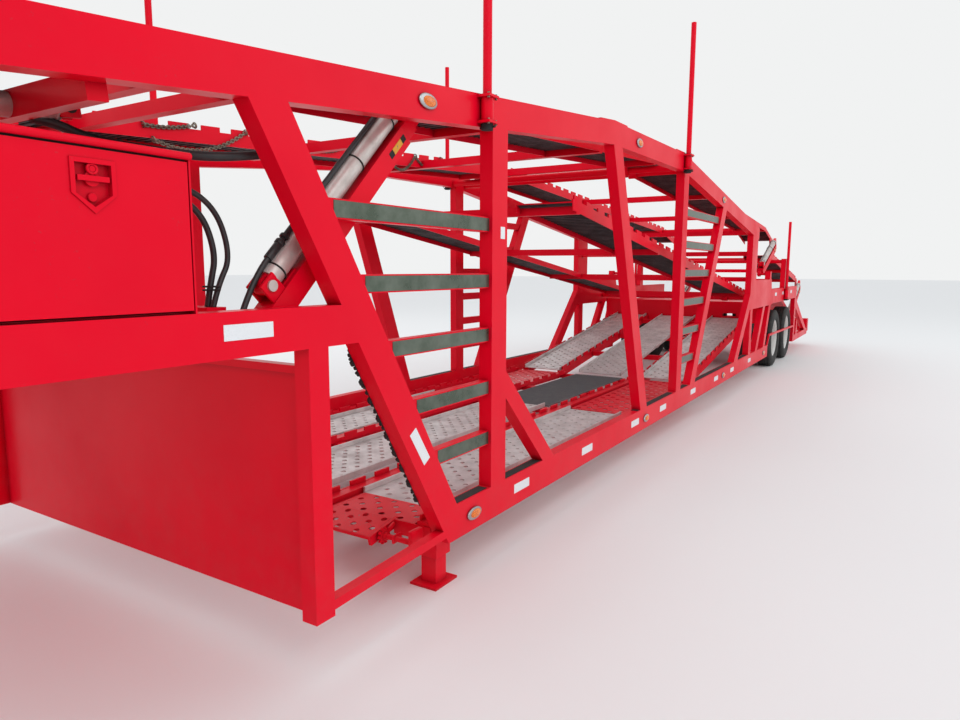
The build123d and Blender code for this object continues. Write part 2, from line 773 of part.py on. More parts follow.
with BuildPart() as middle_deck:
    deck_skids(middle_deck_line, skid_out - 6, (post_one + 1556, post_three + 40, post_five - 1300, beam_station - 500))
    knuckles(middle_deck_line, beam_station - 400, middle_hinge, knuckle_in, knuckle_out)
save(middle_deck, "middle_deck")

with BuildPart() as tail_deck:
    deck_skids(tail_deck_line, skid_out - 6, (front_axle + 650, rear_leg_front + 280, overall_length - 460))
    knuckles(tail_deck_line, front_axle + 610, tail_hinge, knuckle_in, knuckle_out)
    head_lugs(tail_deck_line, leg_lines["tail"][2:])
save(tail_deck, "tail_deck")

front_line = Line(*front_deck_line[0], *front_deck_line[1])
with BuildPart() as front_deck:
    deck_skids(front_deck_line, skid_in + 6, (160, 1060, 1960, 2780))
    for u in (800, 2300):
        both_sides(front_line.slab(u, u + 200, -skid_flange, -skid_flange + 20), skid_out - 8, side_in - 20)
    both_sides(front_line.slab(slide_lug, slide_lug + 50, slide_w - 30, -4), slide_y - 20, slide_y + 20)
save(front_deck, "front_deck")

# Ledges inside the top rails that carry the front deck
with BuildPart() as deck_ledges:
    low = -skid_flange - gap
    both_sides(front_line.slab(60, 2890, low - 10, low), side_in - 60, side_in)
save(deck_ledges, "deck_ledges")

# Hinge shafts and fixed cross tubes between the side frames
with BuildPart() as cross_shafts:
    for hinge in (upper_hinge, rear_hinge, middle_hinge, tail_hinge):
        cross_rod(hinge[0], hinge[1], shaft_radius, -side_in, side_in)
    for station, height in [(post_five + 160, 2080), (post_five + 160, 1800), (post_five + 160, 1455)]:
        prism(rectangle(station - 30, station + 30, height - 30, height + 30), -side_in, side_in)
save(cross_shafts, "cross_shafts")
# Foot brackets and pins of the lift legs
with BuildPart() as leg_brackets:
    for s, z, _, _ in leg_lines.values():
        both_rods(s, z, leg_pin_radius, leg_y - 30, side_in)
    s, z = leg_lines["rear"][:2]
    both_sides([(s - 60, plate_high), (s + 60, plate_high), (s + 40, z + 40), (s - 40, z + 40)], side_in, side_out)
    s, z = leg_lines["tail"][:2]
    both_sides([(s - 90, rear_bar_high), (s + 90, rear_bar_high), (s + 40, z + 40), (s - 40, z + 40)],
               side_in, side_out)
    both_sides([(tail_hinge[0] - 80, fender_high), (tail_hinge[0] + 80, fender_high),
                (tail_hinge[0] + 50, tail_hinge[1] + 45), (tail_hinge[0] - 50, tail_hinge[1] + 45)],
               side_in, side_out)
save(leg_brackets, "leg_brackets")

# Lift legs: outer tube, inner tube, cylinder barrel and rod
for name, numbers in leg_lines.items():
    leg = Line(*numbers)
    half_tube = leg_tube / 2
    outer_end = leg.length - 150
    lug_low, lug_high = leg_y - 20, leg_y + 20
    foot = numbers[:2]
    with BuildPart() as leg_outer:
        both_rods(foot[0], foot[1], leg_eye_radius, lug_low, lug_high)
        both_sides(leg.slab(0, 80, -leg_eye_radius, leg_eye_radius), lug_low, lug_high)
        both_sides(leg.slab(70, outer_end, -half_tube, half_tube), leg_y - half_tube, leg_y + half_tube)
        hole = leg_slide / 2 + gap
        both_sides(leg.slab(80, outer_end + 1, -hole, hole), leg_y - hole, leg_y + hole, mode=Mode.SUBTRACT)
        both_rods(foot[0], foot[1], leg_pin_radius + gap, lug_low - 1, lug_high + 1, mode=Mode.SUBTRACT)
        both_sides(leg.slab(200, 300, half_tube, cylinder_offset - barrel_radius), leg_y - 30, leg_y + 30)
    save(leg_outer, f"{name}_leg_outer")
    with BuildPart() as leg_inner:
        solid = leg_slide / 2
        both_sides(leg.slab(140, leg.length - 60, -solid, solid), leg_y - solid, leg_y + solid)
        both_sides(leg.slab(leg.length - 100, leg.length + 30, -solid, cylinder_offset + 20), leg_y - 20, leg_y + 20)
        both_rods(numbers[2], numbers[3], leg_pin_radius, skid_out + 6 + gap, leg_y)
    save(leg_inner, f"{name}_leg_inner")
    with BuildPart() as barrel:
        for y in (-leg_y, leg_y):
            round_bar(leg, 200, outer_end + 10, y, cylinder_offset, barrel_radius)
            round_bar(leg, 240, outer_end + 11, y, cylinder_offset, rod_radius + gap, mode=Mode.SUBTRACT)
    save(barrel, f"{name}_cylinder_barrel")
    with BuildPart() as rod:
        for y in (-leg_y, leg_y):
            round_bar(leg, 260, leg.length - 100, y, cylinder_offset, rod_radius)
    save(rod, f"{name}_cylinder_rod")


def hose(points, y, bend):
    """A hose through (station, height) points, rounded at its bends."""
    with BuildLine() as route:
        FilletPolyline(*[(x_at(s), y, z) for s, z in points], radius=bend)
    with BuildSketch(Plane(origin=route.line @ 0, z_dir=route.line % 0)) as section:
        Circle(hose_radius)
    sweep(sections=section.sketch, path=route.line)


# Hoses along the upper lift cylinders, down to the foot of the leg behind the neck rail
upper_leg = Line(*leg_lines["upper"])
hose_w = cylinder_offset + barrel_radius + gap + hose_radius
with BuildPart() as upper_leg_hoses:
    for y in (-leg_y, leg_y):
        foot = (upper_leg.start[0] - 73, upper_leg.start[1] + 40)
        hose([upper_leg.at(upper_leg.length - 186, hose_w), upper_leg.at(140, hose_w), foot], y, 150)
save(upper_leg_hoses, "upper_leg_hoses")

# Hoses from the lockers' rear walls down to the shelf of the neck frame
with BuildPart() as hydraulic_hoses:
    drop = hose_shelf + 45
    for y in (-shelf_hose_y, shelf_hose_y):
        hose([(locker_rear, shelf_hose_high), (drop, shelf_hose_high), (drop, neck_rail_high)], y, 180)
save(hydraulic_hoses, "hydraulic_hoses")

# Slide cylinders of the front deck
with BuildPart() as slide_barrels:
    for y in (-slide_y, slide_y):
        round_bar(front_line, 1150, 2200, y, slide_w, slide_barrel_radius)
        round_bar(front_line, 1140, 2160, y, slide_w, rod_radius + gap, mode=Mode.SUBTRACT)
save(slide_barrels, "slide_cylinder_barrels")
with BuildPart() as slide_rods:
    for y in (-slide_y, slide_y):
        round_bar(front_line, slide_lug + 50, 2140, y, slide_w, rod_radius)
save(slide_rods, "slide_cylinder_rods")
with BuildPart() as slide_brackets:
    prism(front_line.slab(2200, 2260, slide_w - 40, slide_w + 40), -side_in, side_in)
save(slide_brackets, "slide_brackets")

# Poles in sockets on the side frames: two flanged collars and a sleeve each
pole_y = side_out + 30
pole_radius = 22
pole_head = 3750
rear_pole_head = 2380
with BuildPart() as poles:
    # station, undersides of the lower and the upper collar, head of the pole
    front_pole, middle_pole = post_one - 104, post_three - 10
    for station, low, high, head in [
        (front_pole, rail_top(front_pole) - 143, rail_top(front_pole) - 23, pole_head),
        (middle_pole, rail_top(middle_pole) - 143, rail_top(middle_pole) - 23, pole_head),
        (front_axle + 450, fender_low + 30, fender_high - 25, rear_pole_head),
    ]:
        foot = low - 20
        for y in (-pole_y, pole_y):
            with BuildSketch(Plane.XY.offset(foot)) as pole_section:
                with Locations((x_at(station), y)):
                    Circle(pole_radius)
            extrude(pole_section.sketch, amount=head - foot)
        for collar in (low, high):
            both_sides(rectangle(station - 45, station + 45, collar, collar + 12), side_out, side_out + 70)
save(poles, "poles")

# Guard bars outside the wheels
with BuildPart() as wheel_guards:
    both_sides(band([(bottom_rail_end, 430), (bottom_rail_end + 150, 590), (rear_leg_front, 560)], -30, 0),
               side_out - 25, side_out)
save(wheel_guards, "wheel_guards")
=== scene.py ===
import functools
import json
import math

import bmesh
import bpy
from bpy.props import FloatProperty, FloatVectorProperty, IntProperty, PointerProperty, StringProperty
from mathutils import Euler, Matrix, Quaternion, Vector


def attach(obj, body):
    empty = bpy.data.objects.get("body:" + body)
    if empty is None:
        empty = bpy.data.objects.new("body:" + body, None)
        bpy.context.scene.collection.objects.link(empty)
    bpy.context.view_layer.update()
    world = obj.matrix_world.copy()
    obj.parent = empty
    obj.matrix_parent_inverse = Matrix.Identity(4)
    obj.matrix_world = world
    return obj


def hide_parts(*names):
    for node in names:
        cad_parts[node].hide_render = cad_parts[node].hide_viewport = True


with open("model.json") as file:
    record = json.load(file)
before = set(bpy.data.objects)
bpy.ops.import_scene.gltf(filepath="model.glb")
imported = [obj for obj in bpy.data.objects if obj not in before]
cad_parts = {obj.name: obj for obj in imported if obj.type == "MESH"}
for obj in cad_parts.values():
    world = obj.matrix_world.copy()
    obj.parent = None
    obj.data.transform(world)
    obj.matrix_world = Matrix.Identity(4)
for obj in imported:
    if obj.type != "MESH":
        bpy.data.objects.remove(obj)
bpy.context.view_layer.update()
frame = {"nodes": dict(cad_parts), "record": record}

bl_info = {
    "name": "Car transporter trailer",
    "version": (1, 0, 0),
    "blender": (4, 5, 0),
    "location": "View3D > Sidebar > Trailer",
    "description": "Dresses a parked car transporter semi-trailer: paint, tracks, tyres, lamps, hoses and chains",
    "category": "Object",
}

SIDES = (("left", -1), ("right", 1))

# edges that bend more than this stay sharp, and places nearer than this are one
SHARP, SAME = math.radians(35), 0.0005

# material and slot of each finish, filled by the finishes step
FINISHES = {}


# Settings


def metres(name, description, default):
    """A size that the panel shows as a length"""
    return FloatProperty(name=name, description=description, default=default, unit="LENGTH")


def degrees(name, description, default):
    """An angle that the panel shows in degrees"""
    return FloatProperty(name=name, description=description, default=math.radians(default), subtype="ANGLE")


class StageSettings(bpy.types.PropertyGroup):
    """Floor, light and the camera that stands beside the neck"""

    floor_size: metres("Floor size", "Edge of the pale floor", 240.0)
    floor_hex: StringProperty(name="Floor colour", description="Colour of the floor as sRGB hex", default="#F0F0EE")
    sky_strength: FloatProperty(name="Sky strength", description="Even light from all round", default=0.95, min=0.0)
    key_power: FloatProperty(name="Key light", description="Power of the large soft light", default=480.0, min=0.0,
                             unit="POWER")
    camera_place: FloatVectorProperty(name="Camera place", description="Where the lens is",
                                      default=(-7.5, -3.126, 1.591), subtype="TRANSLATION")
    camera_heading: degrees("Camera heading", "Turn of the view from straight rearwards", 31.921)
    camera_dip: degrees("Camera dip", "How far the view looks down", 7.568)
    camera_roll: degrees("Camera roll", "Lean of the horizon", 0.19)
    lens: FloatProperty(name="Focal length", description="Focal length on a 36 mm wide sensor", default=25.84,
                        unit="CAMERA")


class DeckSettings(bpy.types.PropertyGroup):
    """Sizes of the lower deck, the same as the solids that its planks replace"""

    floor_start: metres("Floor start", "Front end of the floor planks", -4.59)
    floor_end: metres("Floor end", "Rear end of the floor planks", -1.75)
    member_top: metres("Member top", "Top of the floor's cross members", 0.3)
    ramp_start: metres("Incline start", "Foot of the incline", 0.25)
    ramp_end: metres("Incline end", "Head of the incline", 3.5)
    ramp_foot_height: metres("Incline foot height", "Height of the incline's foot", 0.34)
    ramp_rise: metres("Incline rise", "How far the incline rises", 0.51)
    track_in: metres("Track inside", "Inner edge of a side plank", 0.522)
    track_out: metres("Track outside", "Outer edge of a side plank", 1.022)
    centre_half: metres("Centre half", "Half the width of the middle plank", 0.27)
    sheet: metres("Sheet", "Thickness of the planks", 0.008)
    end_plate: metres("End plate", "Depth of the plates past the planks", 0.012)
    lip: metres("Lip", "Height of the turned-up lips", 0.04)
    pitch: metres("Hole pitch", "Square of a plank that holds two staggered holes", 0.125)
    hole: metres("Hole radius", "Radius of the holes in the planks", 0.0175)
    plate_pitch: metres("Plate pitch", "Square of a red plate that holds two staggered holes", 0.112)
    plate_hole: metres("Plate hole radius", "Radius of the holes in the red plates", 0.017)


class WheelSettings(bpy.types.PropertyGroup):
    """Sizes of the twin wheels, the same as the solids they dress"""

    front_axle: metres("Front axle", "Place of the front axle along the trailer", 4.75)
    rear_axle: metres("Rear axle", "Place of the rear axle along the trailer", 5.995)
    axle_height: metres("Axle height", "Height of both axles", 0.465)
    outer_y: metres("Outer tyre", "Middle of the outer tyre from the centre line", 1.142)
    twin_spacing: metres("Twin spacing", "Distance between the twin tyres", 0.33)
    tyre_radius: metres("Tyre radius", "Radius over the tread", 0.465)
    tyre_width: metres("Tyre width", "Width of the casing", 0.245)
    rim_radius: metres("Rim radius", "Radius of the rim under the beads", 0.298)
    nuts: IntProperty(name="Wheel nuts", description="Nuts and hand holes of each wheel", default=10)
    bolt_circle: metres("Bolt circle", "Radius of the circle of nuts", 0.1396)


class PaintSettings(bpy.types.PropertyGroup):
    """Colours of the enamel as sRGB hex"""

    enamel_hex: StringProperty(name="Enamel", description="Red enamel of the frame", default="#EA0226")
    shade_hex: StringProperty(name="Thin enamel", description="Darker red where the coat is thin", default="#BC0422")
    primer_hex: StringProperty(name="Primer", description="Grey primer under chips", default="#6F6A68")
    dust_hex: StringProperty(name="Dust", description="Road dust on the low members", default="#8A8278")


# Materials


def linear(hex_code):
    """sRGB hex to linear colour with full alpha"""
    parts = [int(hex_code[i:i + 2], 16) / 255 for i in (1, 3, 5)]
    return tuple(c / 12.92 if c <= 0.04045 else ((c + 0.055) / 1.055) ** 2.4 for c in parts) + (1.0,)


def feed(node, links):
    """Links a node's inputs to sockets, or to the first output in use of other nodes"""
    for key, source in links.items():
        if isinstance(source, bpy.types.Node):
            source = next(socket for socket in source.outputs if socket.enabled)
        node.id_data.links.new(source, node.inputs[key])


def add_node(tree, kind, settings=None, links=None):
    """A node with its settings by attribute, socket or colour stops, and its inputs linked"""
    node = tree.nodes.new("ShaderNode" + kind)
    for key, value in (settings or {}).items():
        if key == "stops":
            elements = node.color_ramp.elements
            while len(elements) < len(value):
                elements.new(0.5)
            for element, (position, colour) in zip(elements, value):
                element.position = position
                element.color = colour if isinstance(colour, tuple) else (colour, colour, colour, 1.0)
        elif isinstance(key, int) or key in node.inputs:
            node.inputs[key].default_value = value
        else:
            setattr(node, key, value)
    feed(node, links or {})
    return node


def new_material(name, fixed):
    """A material with the shader's fixed values; also the function that adds its nodes, the shader
    and the Object coordinates"""
    material = bpy.data.materials.new(name)
    material.use_nodes = True
    material.node_tree.nodes.clear()
    add = functools.partial(add_node, material.node_tree)
    shader = add("BsdfPrincipled", fixed)
    add("OutputMaterial", links={"Surface": shader})
    return material, add, shader, add("TexCoord").outputs["Object"]


def patches(add, place, scale, low, high, **noise):
    """A mask of soft patches, 1 / scale metres across, cut between two (level, grey) stops"""
    cloud = add("TexNoise", {"Scale": scale, **noise}, {"Vector": place})
    return add("ValToRGB", {"stops": (low, high)}, {0: cloud})


def enamel_paint(name, base_hex, shade_hex, primer_hex, dust_hex, gloss=0.28):
    """Two-pack polyurethane enamel, sprayed over grey primer on welded steel: glossy, slightly
    clouded, with chips down to primer on the tops and road dust low down"""
    material, add, shader, place = new_material(
        name, {"Specular IOR Level": 0.09, "Coat Weight": 0.04, "Coat Roughness": 0.12})
    # clouds of a hand-sprayed coat, about 0.6 m across
    cloud = patches(add, place, 1.6, (0.35, 0.0), (0.75, 1.0), Detail=4.0, Roughness=0.55)
    faint = add("Math", {"operation": "MULTIPLY", 1: 0.22}, {0: cloud})
    tone = add("Mix", {"data_type": "RGBA", 6: linear(base_hex), 7: linear(shade_hex)}, {0: faint})
    # chips a few millimetres across, drawn at 9 mm so that they show, kept to faces that look up
    chips = patches(add, place, 110.0, (0.665, 0.0), (0.69, 1.0), Detail=3.0)
    groups = patches(add, place, 5.0, (0.52, 0.0), (0.62, 1.0))
    up = add("SeparateXYZ", links={0: add("NewGeometry").outputs["Normal"]}).outputs["Z"]
    tops = add("ValToRGB", {"stops": ((0.55, 0.12), (0.9, 1.0))}, {0: up})
    worn = add("Math", {"operation": "MULTIPLY"}, {0: chips, 1: groups})
    worn = add("Math", {"operation": "MULTIPLY"}, {0: worn, 1: tops})
    chipped = add("Mix", {"data_type": "RGBA", 7: linear(primer_hex)}, {0: worn, 6: tone})
    # dust thrown up by the wheels, in patches of 0.1 m, thick at the ground and gone by waist height
    height = add("SeparateXYZ", links={0: place}).outputs["Z"]
    low = add("MapRange", {1: 0.2, 2: 1.1, 3: 0.07, 4: 0.01}, {0: height})
    settled = patches(add, place, 9.0, (0.4, 0.1), (0.7, 1.0), Detail=6.0, Roughness=0.7)
    dust = add("Math", {"operation": "MULTIPLY"}, {0: low, 1: settled})
    dusty = add("Mix", {"data_type": "RGBA", 7: linear(dust_hex)}, {0: dust, 6: chipped})
    # painted shade: darker in recesses and along the welds, within 40 mm of a corner
    corner = add("AmbientOcclusion", {"samples": 6, "Distance": 0.04}).outputs["AO"]
    painted_shade = add("MapRange", {1: 0.25, 2: 0.95, 3: 0.5, 4: 1.0}, {0: corner})
    shaded = add("Mix", {"data_type": "RGBA", "blend_type": "MULTIPLY", 0: 1.0}, {6: dusty, 7: painted_shade})
    # dust and a thin coat both dull the shine
    rough = add("MapRange", {1: 0.0, 2: 1.0, 3: gloss, 4: gloss + 0.3}, {0: dust})
    rough = add("Math", {"operation": "ADD"}, {0: rough, 1: faint})
    # orange peel, really 2 mm, drawn at 12 mm so that it shows in the shine
    peel = add("TexNoise", {"Scale": 85.0, "Detail": 2.0}, {"Vector": place})
    bump = add("Bump", {"Strength": 0.05, "Distance": 0.002}, {"Height": peel})
    feed(shader, {"Base Color": shaded, "Roughness": rough, "Normal": bump})
    return material


def metal(name, base_hex, second_hex, rough, spangle=0.0, scratch=0.0, metallic=1.0):
    """Bare metal: base colour, a second tone for stains, and spangles or rolling scratches"""
    material, add, shader, place = new_material(name, {"Metallic": metallic})
    # stains about 0.15 m across, duller than the clean metal
    stain = patches(add, place, 6.0, (0.38, 0.0), (0.72, 1.0), Detail=5.0, Roughness=0.65)
    colour = add("Mix", {"data_type": "RGBA", 6: linear(base_hex), 7: linear(second_hex)}, {0: stain})
    rough = add("MapRange", {1: 0.0, 2: 1.0, 3: rough, 4: min(1.0, rough + 0.22)}, {0: stain})
    if spangle:
        # zinc spangles, 25 mm across
        cells = add("TexVoronoi", {"Scale": 40.0}, {"Vector": place}).outputs["Color"]
        level = add("MapRange", {1: 0.0, 2: 1.0, 3: 1.0 - spangle, 4: 1.0}, {0: add("SeparateColor", links={0: cells})})
        colour = add("Mix", {"data_type": "RGBA", "blend_type": "MULTIPLY", 0: 1.0}, {6: colour, 7: level})
    if scratch:
        # scratches along the trailer, really under a millimetre wide, drawn at 4 mm so that they show
        stretched = add("Mapping", {"Scale": (4.0, 260.0, 260.0)}, {"Vector": place})
        lines = add("TexNoise", {"Scale": 1.0, "Detail": 3.0}, {"Vector": stretched})
        feed(shader, {"Normal": add("Bump", {"Strength": scratch, "Distance": 0.002}, {"Height": lines})})
    feed(shader, {"Base Color": colour, "Roughness": rough})
    return material


def rubber(name, base_hex, dust_hex, rough=0.78):
    """Carbon-black rubber, matt, with patches of dust 70 mm across in it"""
    material, add, shader, place = new_material(name, {"Roughness": rough})
    dust = patches(add, place, 14.0, (0.42, 0.0), (0.8, 0.6), Detail=6.0, Roughness=0.65)
    tone = add("Mix", {"data_type": "RGBA", 6: linear(base_hex), 7: linear(dust_hex)}, {0: dust})
    # moulded grain, really half a millimetre, drawn at 4 mm so that it shows
    grain = add("TexNoise", {"Scale": 240.0, "Detail": 2.0}, {"Vector": place})
    bump = add("Bump", {"Strength": 0.12, "Distance": 0.001}, {"Height": grain})
    feed(shader, {"Base Color": tone, "Normal": bump})
    return material


def lens_plastic(name, tint_hex, deep_hex="#B34A00"):
    """Moulded acrylic lens: glossy outside, its light broken by prisms 6 mm across inside"""
    material, add, shader, place = new_material(
        name, {"Roughness": 0.08, "Coat Weight": 0.4, "Transmission Weight": 0.25, "Emission Strength": 0.3})
    cells = add("TexVoronoi", {"Scale": 160.0}, {"Vector": place})
    shade = add("ValToRGB", {"stops": ((0.0, linear(tint_hex)), (0.9, linear(deep_hex)))}, {0: cells})
    feed(shader, {"Base Color": shade, "Emission Color": shade})
    return material


def reflective_film(name):
    """Prismatic reflective sheeting: cells 5 mm across, with paler seams, under a clear face"""
    material, add, shader, place = new_material(name, {"Roughness": 0.32, "Coat Weight": 0.6})
    cells = add("TexVoronoi", {"feature": "DISTANCE_TO_EDGE", "Scale": 200.0}, {"Vector": place})
    shade = add("ValToRGB", {"stops": ((0.0, linear("#D9DCDF")), (0.12, linear("#E9ECEE")))}, {0: cells})
    feed(shader, {"Base Color": shade})
    return material


def caution_paint(name):
    """Yellow marking paint, scuffed through to primer in spots 14 mm across"""
    material, add, shader, place = new_material(name, {"Roughness": 0.4})
    wear = add("TexNoise", {"Scale": 70.0, "Detail": 4.0}, {"Vector": place})
    stops = tuple((level, linear(code)) for level, code in ((0.3, "#E3A70A"), (0.62, "#D69A0C"), (0.66, "#6F6A68")))
    feed(shader, {"Base Color": add("ValToRGB", {"stops": stops}, {0: wear})})
    return material


# Modelling


def deselect():
    """Leaves nothing selected"""
    bpy.ops.object.select_all(action="DESELECT")


def active(piece):
    """Selects one piece alone"""
    deselect()
    piece.select_set(True)
    bpy.context.view_layer.objects.active = piece
    return piece


def baked(piece):
    """Puts a piece's place, turn and scale into its mesh"""
    active(piece)
    bpy.ops.object.transform_apply(location=True, rotation=True, scale=True)
    return piece


def faced(piece):
    """Turns a closed shape's faces outwards"""
    active(piece)
    bpy.ops.object.mode_set(mode="EDIT")
    bpy.ops.mesh.select_all(action="SELECT")
    bpy.ops.mesh.normals_make_consistent(inside=False)
    bpy.ops.object.mode_set(mode="OBJECT")
    return piece


def shaped(piece, kind, **settings):
    """Adds a modifier with its settings and applies it"""
    active(piece)
    modifier = piece.modifiers.new(kind.lower(), kind)
    for key, value in settings.items():
        setattr(modifier, key, value)
    bpy.ops.object.modifier_apply(modifier=modifier.name)
    return piece


def eased(piece, width, segments=2):
    """Rounds a piece's sharp edges"""
    return shaped(piece, "BEVEL", width=width, segments=segments, limit_method="ANGLE")


def block(low, high, ease=0.0):
    """A box between two corners, its edges eased"""
    deselect()
    bpy.ops.mesh.primitive_cube_add(size=1, location=[(a + b) / 2 for a, b in zip(low, high)],
                                    scale=[b - a for a, b in zip(low, high)])
    piece = baked(bpy.context.object)
    return eased(piece, ease) if ease else piece


def rod(start, end, radius, vertices=24):
    """A round bar between two places"""
    start, end = Vector(start), Vector(end)
    along = end - start
    deselect()
    bpy.ops.mesh.primitive_cylinder_add(vertices=vertices, radius=radius, depth=along.length,
                                        location=(start + end) / 2, rotation=along.to_track_quat("Z", "Y").to_euler())
    return baked(bpy.context.object)


def ring(place, way, radius, wire, turns=32):
    """A round wire ring that stands across the way given"""
    deselect()
    bpy.ops.mesh.primitive_torus_add(location=place, rotation=Vector(way).to_track_quat("Z", "Y").to_euler(),
                                     major_radius=radius, minor_radius=wire, major_segments=turns, minor_segments=8)
    return baked(bpy.context.object)


def turned(rings, place, segments=96, filled=False):
    """A shape turned about a line across the trailer, drawn out ring by ring from (across, radius)
    pairs; its first and last rings meet, or its ends are filled"""
    deselect()
    bpy.ops.mesh.primitive_circle_add(vertices=segments, radius=rings[0][1], location=(0, 0, rings[0][0]))
    piece = bpy.context.object
    bpy.ops.object.mode_set(mode="EDIT")
    for (across, radius), (next_across, next_radius) in zip(rings, rings[1:]):
        bpy.ops.mesh.extrude_region_move(TRANSFORM_OT_translate={"value": (0, 0, next_across - across)})
        share = next_radius / radius
        bpy.ops.transform.resize(value=(share, share, 1), center_override=(0, 0, next_across))
    bpy.ops.mesh.select_all(action="SELECT")
    bpy.ops.mesh.remove_doubles(threshold=0.0001)
    if filled:
        bpy.ops.mesh.select_all(action="DESELECT")
        bpy.ops.mesh.select_non_manifold()
        bpy.ops.mesh.edge_face_add()
    bpy.ops.object.mode_set(mode="OBJECT")
    baked(piece)
    piece.rotation_euler = (math.radians(90), 0, 0)
    piece.location = place
    return faced(baked(piece))


def joined(pieces):
    """Makes one piece of several"""
    active(pieces[0])
    for piece in pieces:
        piece.select_set(True)
    if len(pieces) > 1:
        bpy.ops.object.join()
    return pieces[0]


def repeated(piece, count, step, merge=False):
    """A row of copies, each a step further on"""
    return shaped(piece, "ARRAY", count=count, use_relative_offset=False, use_constant_offset=True,
                  constant_offset_displace=step, use_merge_vertices=merge, merge_threshold=0.0004)


def mirrored(piece):
    """The piece and its copy on the trailer's other side"""
    return shaped(baked(piece), "MIRROR", use_axis=(False, True, False), use_clip=False, use_mirror_merge=False)


def cut(piece, cutter):
    """Cuts one piece out of another"""
    shaped(piece, "BOOLEAN", operation="DIFFERENCE", object=cutter, solver="EXACT")
    bpy.data.objects.remove(cutter)
    return piece


def tipped(piece, place, angle):
    """Tips a piece about a line across the trailer, its rear end upwards for a positive angle"""
    active(piece)
    bpy.context.scene.cursor.location = place
    bpy.ops.object.origin_set(type="ORIGIN_CURSOR")
    piece.rotation_euler = (0.0, -angle, 0.0)
    return baked(piece)


class Slope:
    """A sloping line in the side view, from (along, height) to (along, height)"""

    def __init__(self, start, end):
        self.start = start
        run, rise = end[0] - start[0], end[1] - start[1]
        self.length, self.angle = math.hypot(run, rise), math.atan2(rise, run)
        self.foot = Vector((start[0], 0, start[1]))
        self.way = Vector((run, 0, rise)).normalized()

    def at(self, u, y, w):
        """The place at u along the line, y across and w above it"""
        return self.foot + self.way * u + Vector((-self.way.z, 0, self.way.x)) * w + Vector((0, y, 0))

    def tip(self, piece):
        """Tips a piece made level at the line's start, so that it lies along the line"""
        return tipped(piece, self.foot, self.angle)

    def block(self, low, high, ease):
        """A box between two (u, y, w) corners, laid along the line"""
        x, z = self.start
        return self.tip(block((x + low[0], low[1], z + low[2]), (x + high[0], high[1], z + high[2]), ease))

    def rod(self, start, end, radius, vertices):
        """A round bar between two (u, y, w) places"""
        return rod(self.at(*start), self.at(*end), radius, vertices)

    def ring(self, place, radius, wire):
        """A round wire ring about the line's direction at a (u, y, w) place"""
        return ring(self.at(*place), self.way, radius, wire)


def round_places(centre, radius, count, shift=0.0):
    """Places on a circle that stands across the trailer"""
    angles = [math.tau * (step + shift) / count for step in range(count)]
    return [centre + radius * Vector((math.cos(angle), 0, math.sin(angle))) for angle in angles]


def perforated(low, high, pitch, hole):
    """A flat sheet with staggered round holes, from one tile and two arrays"""
    length_x, length_y, thick = (b - a for a, b in zip(low, high))
    along, across = round(length_x / pitch), round(length_y / pitch)
    step_x, step_y = length_x / along, length_y / across
    tile = block(low, (low[0] + step_x, low[1] + step_y, high[2]))
    for share in (0.25, 0.75):
        x, y = low[0] + share * step_x, low[1] + share * step_y
        cut(tile, rod((x, y, low[2] - thick), (x, y, high[2] + thick), hole, 14))
    # the tile's outer walls go, so that the copies merge to one sheet
    active(tile)
    bpy.ops.object.mode_set(mode="EDIT")
    bpy.ops.mesh.select_mode(type="FACE")
    bpy.ops.mesh.select_all(action="DESELECT")
    mesh = bmesh.from_edit_mesh(tile.data)
    for face in mesh.faces:
        centre = face.calc_center_median()
        from_wall = min(abs(centre[axis] - low[axis] - past)
                        for axis, step in ((0, step_x), (1, step_y)) for past in (0, step))
        face.select = abs(face.normal.z) < 0.1 and from_wall < SAME
    bmesh.update_edit_mesh(tile.data)
    bpy.ops.mesh.delete(type="FACE")
    bpy.ops.object.mode_set(mode="OBJECT")
    repeated(tile, across, (0, step_y, 0), merge=True)
    return repeated(tile, along, (step_x, 0, 0), merge=True)


def sag(start, end, drop, step):
    """Places a step apart on a line that hangs between two ends"""
    # a hanging line is as long as a straight one that also falls 2.2 times the drop
    count = math.ceil(math.hypot((end - start).length, 2.2 * drop) / step)
    return [start.lerp(end, i / count) - Vector((0, 0, 4 * drop * (i / count) * (1 - i / count)))
            for i in range(count + 1)]


def chain(places, wire):
    """Stretched round links along a line of places, every second one turned a quarter"""
    deselect()
    bpy.ops.mesh.primitive_torus_add(location=(0, 0, 0), major_radius=2.6 * wire, minor_radius=wire,
                                     major_segments=14, minor_segments=6)
    link = bpy.context.object
    bpy.ops.object.mode_set(mode="EDIT")
    bpy.ops.mesh.select_mode(type="VERT")
    for way in (1, -1):
        bpy.ops.mesh.select_all(action="DESELECT")
        mesh = bmesh.from_edit_mesh(link.data)
        for vertex in mesh.verts:
            vertex.select = vertex.co.x * way > 0.0001
        mesh.select_flush(True)
        bmesh.update_edit_mesh(link.data)
        bpy.ops.transform.translate(value=(way * wire, 0, 0))
    bpy.ops.object.mode_set(mode="OBJECT")
    links = []
    for index, (here, there) in enumerate(zip(places, places[1:])):
        active(link)
        bpy.ops.object.duplicate()
        copy = bpy.context.object
        copy.location = (here + there) / 2
        quarter = Quaternion((1, 0, 0), math.radians(90 * (index % 2)))
        copy.rotation_euler = ((there - here).to_track_quat("X", "Z") @ quarter).to_euler()
        links.append(baked(copy))
    bpy.data.objects.remove(link)
    return joined(links)


def fit(piece, name, finish, body="trailer", replaced=(), slot=None, smooth=True):
    """Names a finished piece, gives it its finish and body, and lets it take nodes' places"""
    baked(piece)
    if smooth:
        bpy.ops.object.shade_smooth_by_angle(angle=SHARP)
    material, usual_slot = FINISHES[finish]
    piece.name = name
    piece.data.materials.clear()
    piece.data.materials.append(material)
    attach(piece, body)
    slot or usual_slot
    for node in replaced:
        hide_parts(node)
    return piece


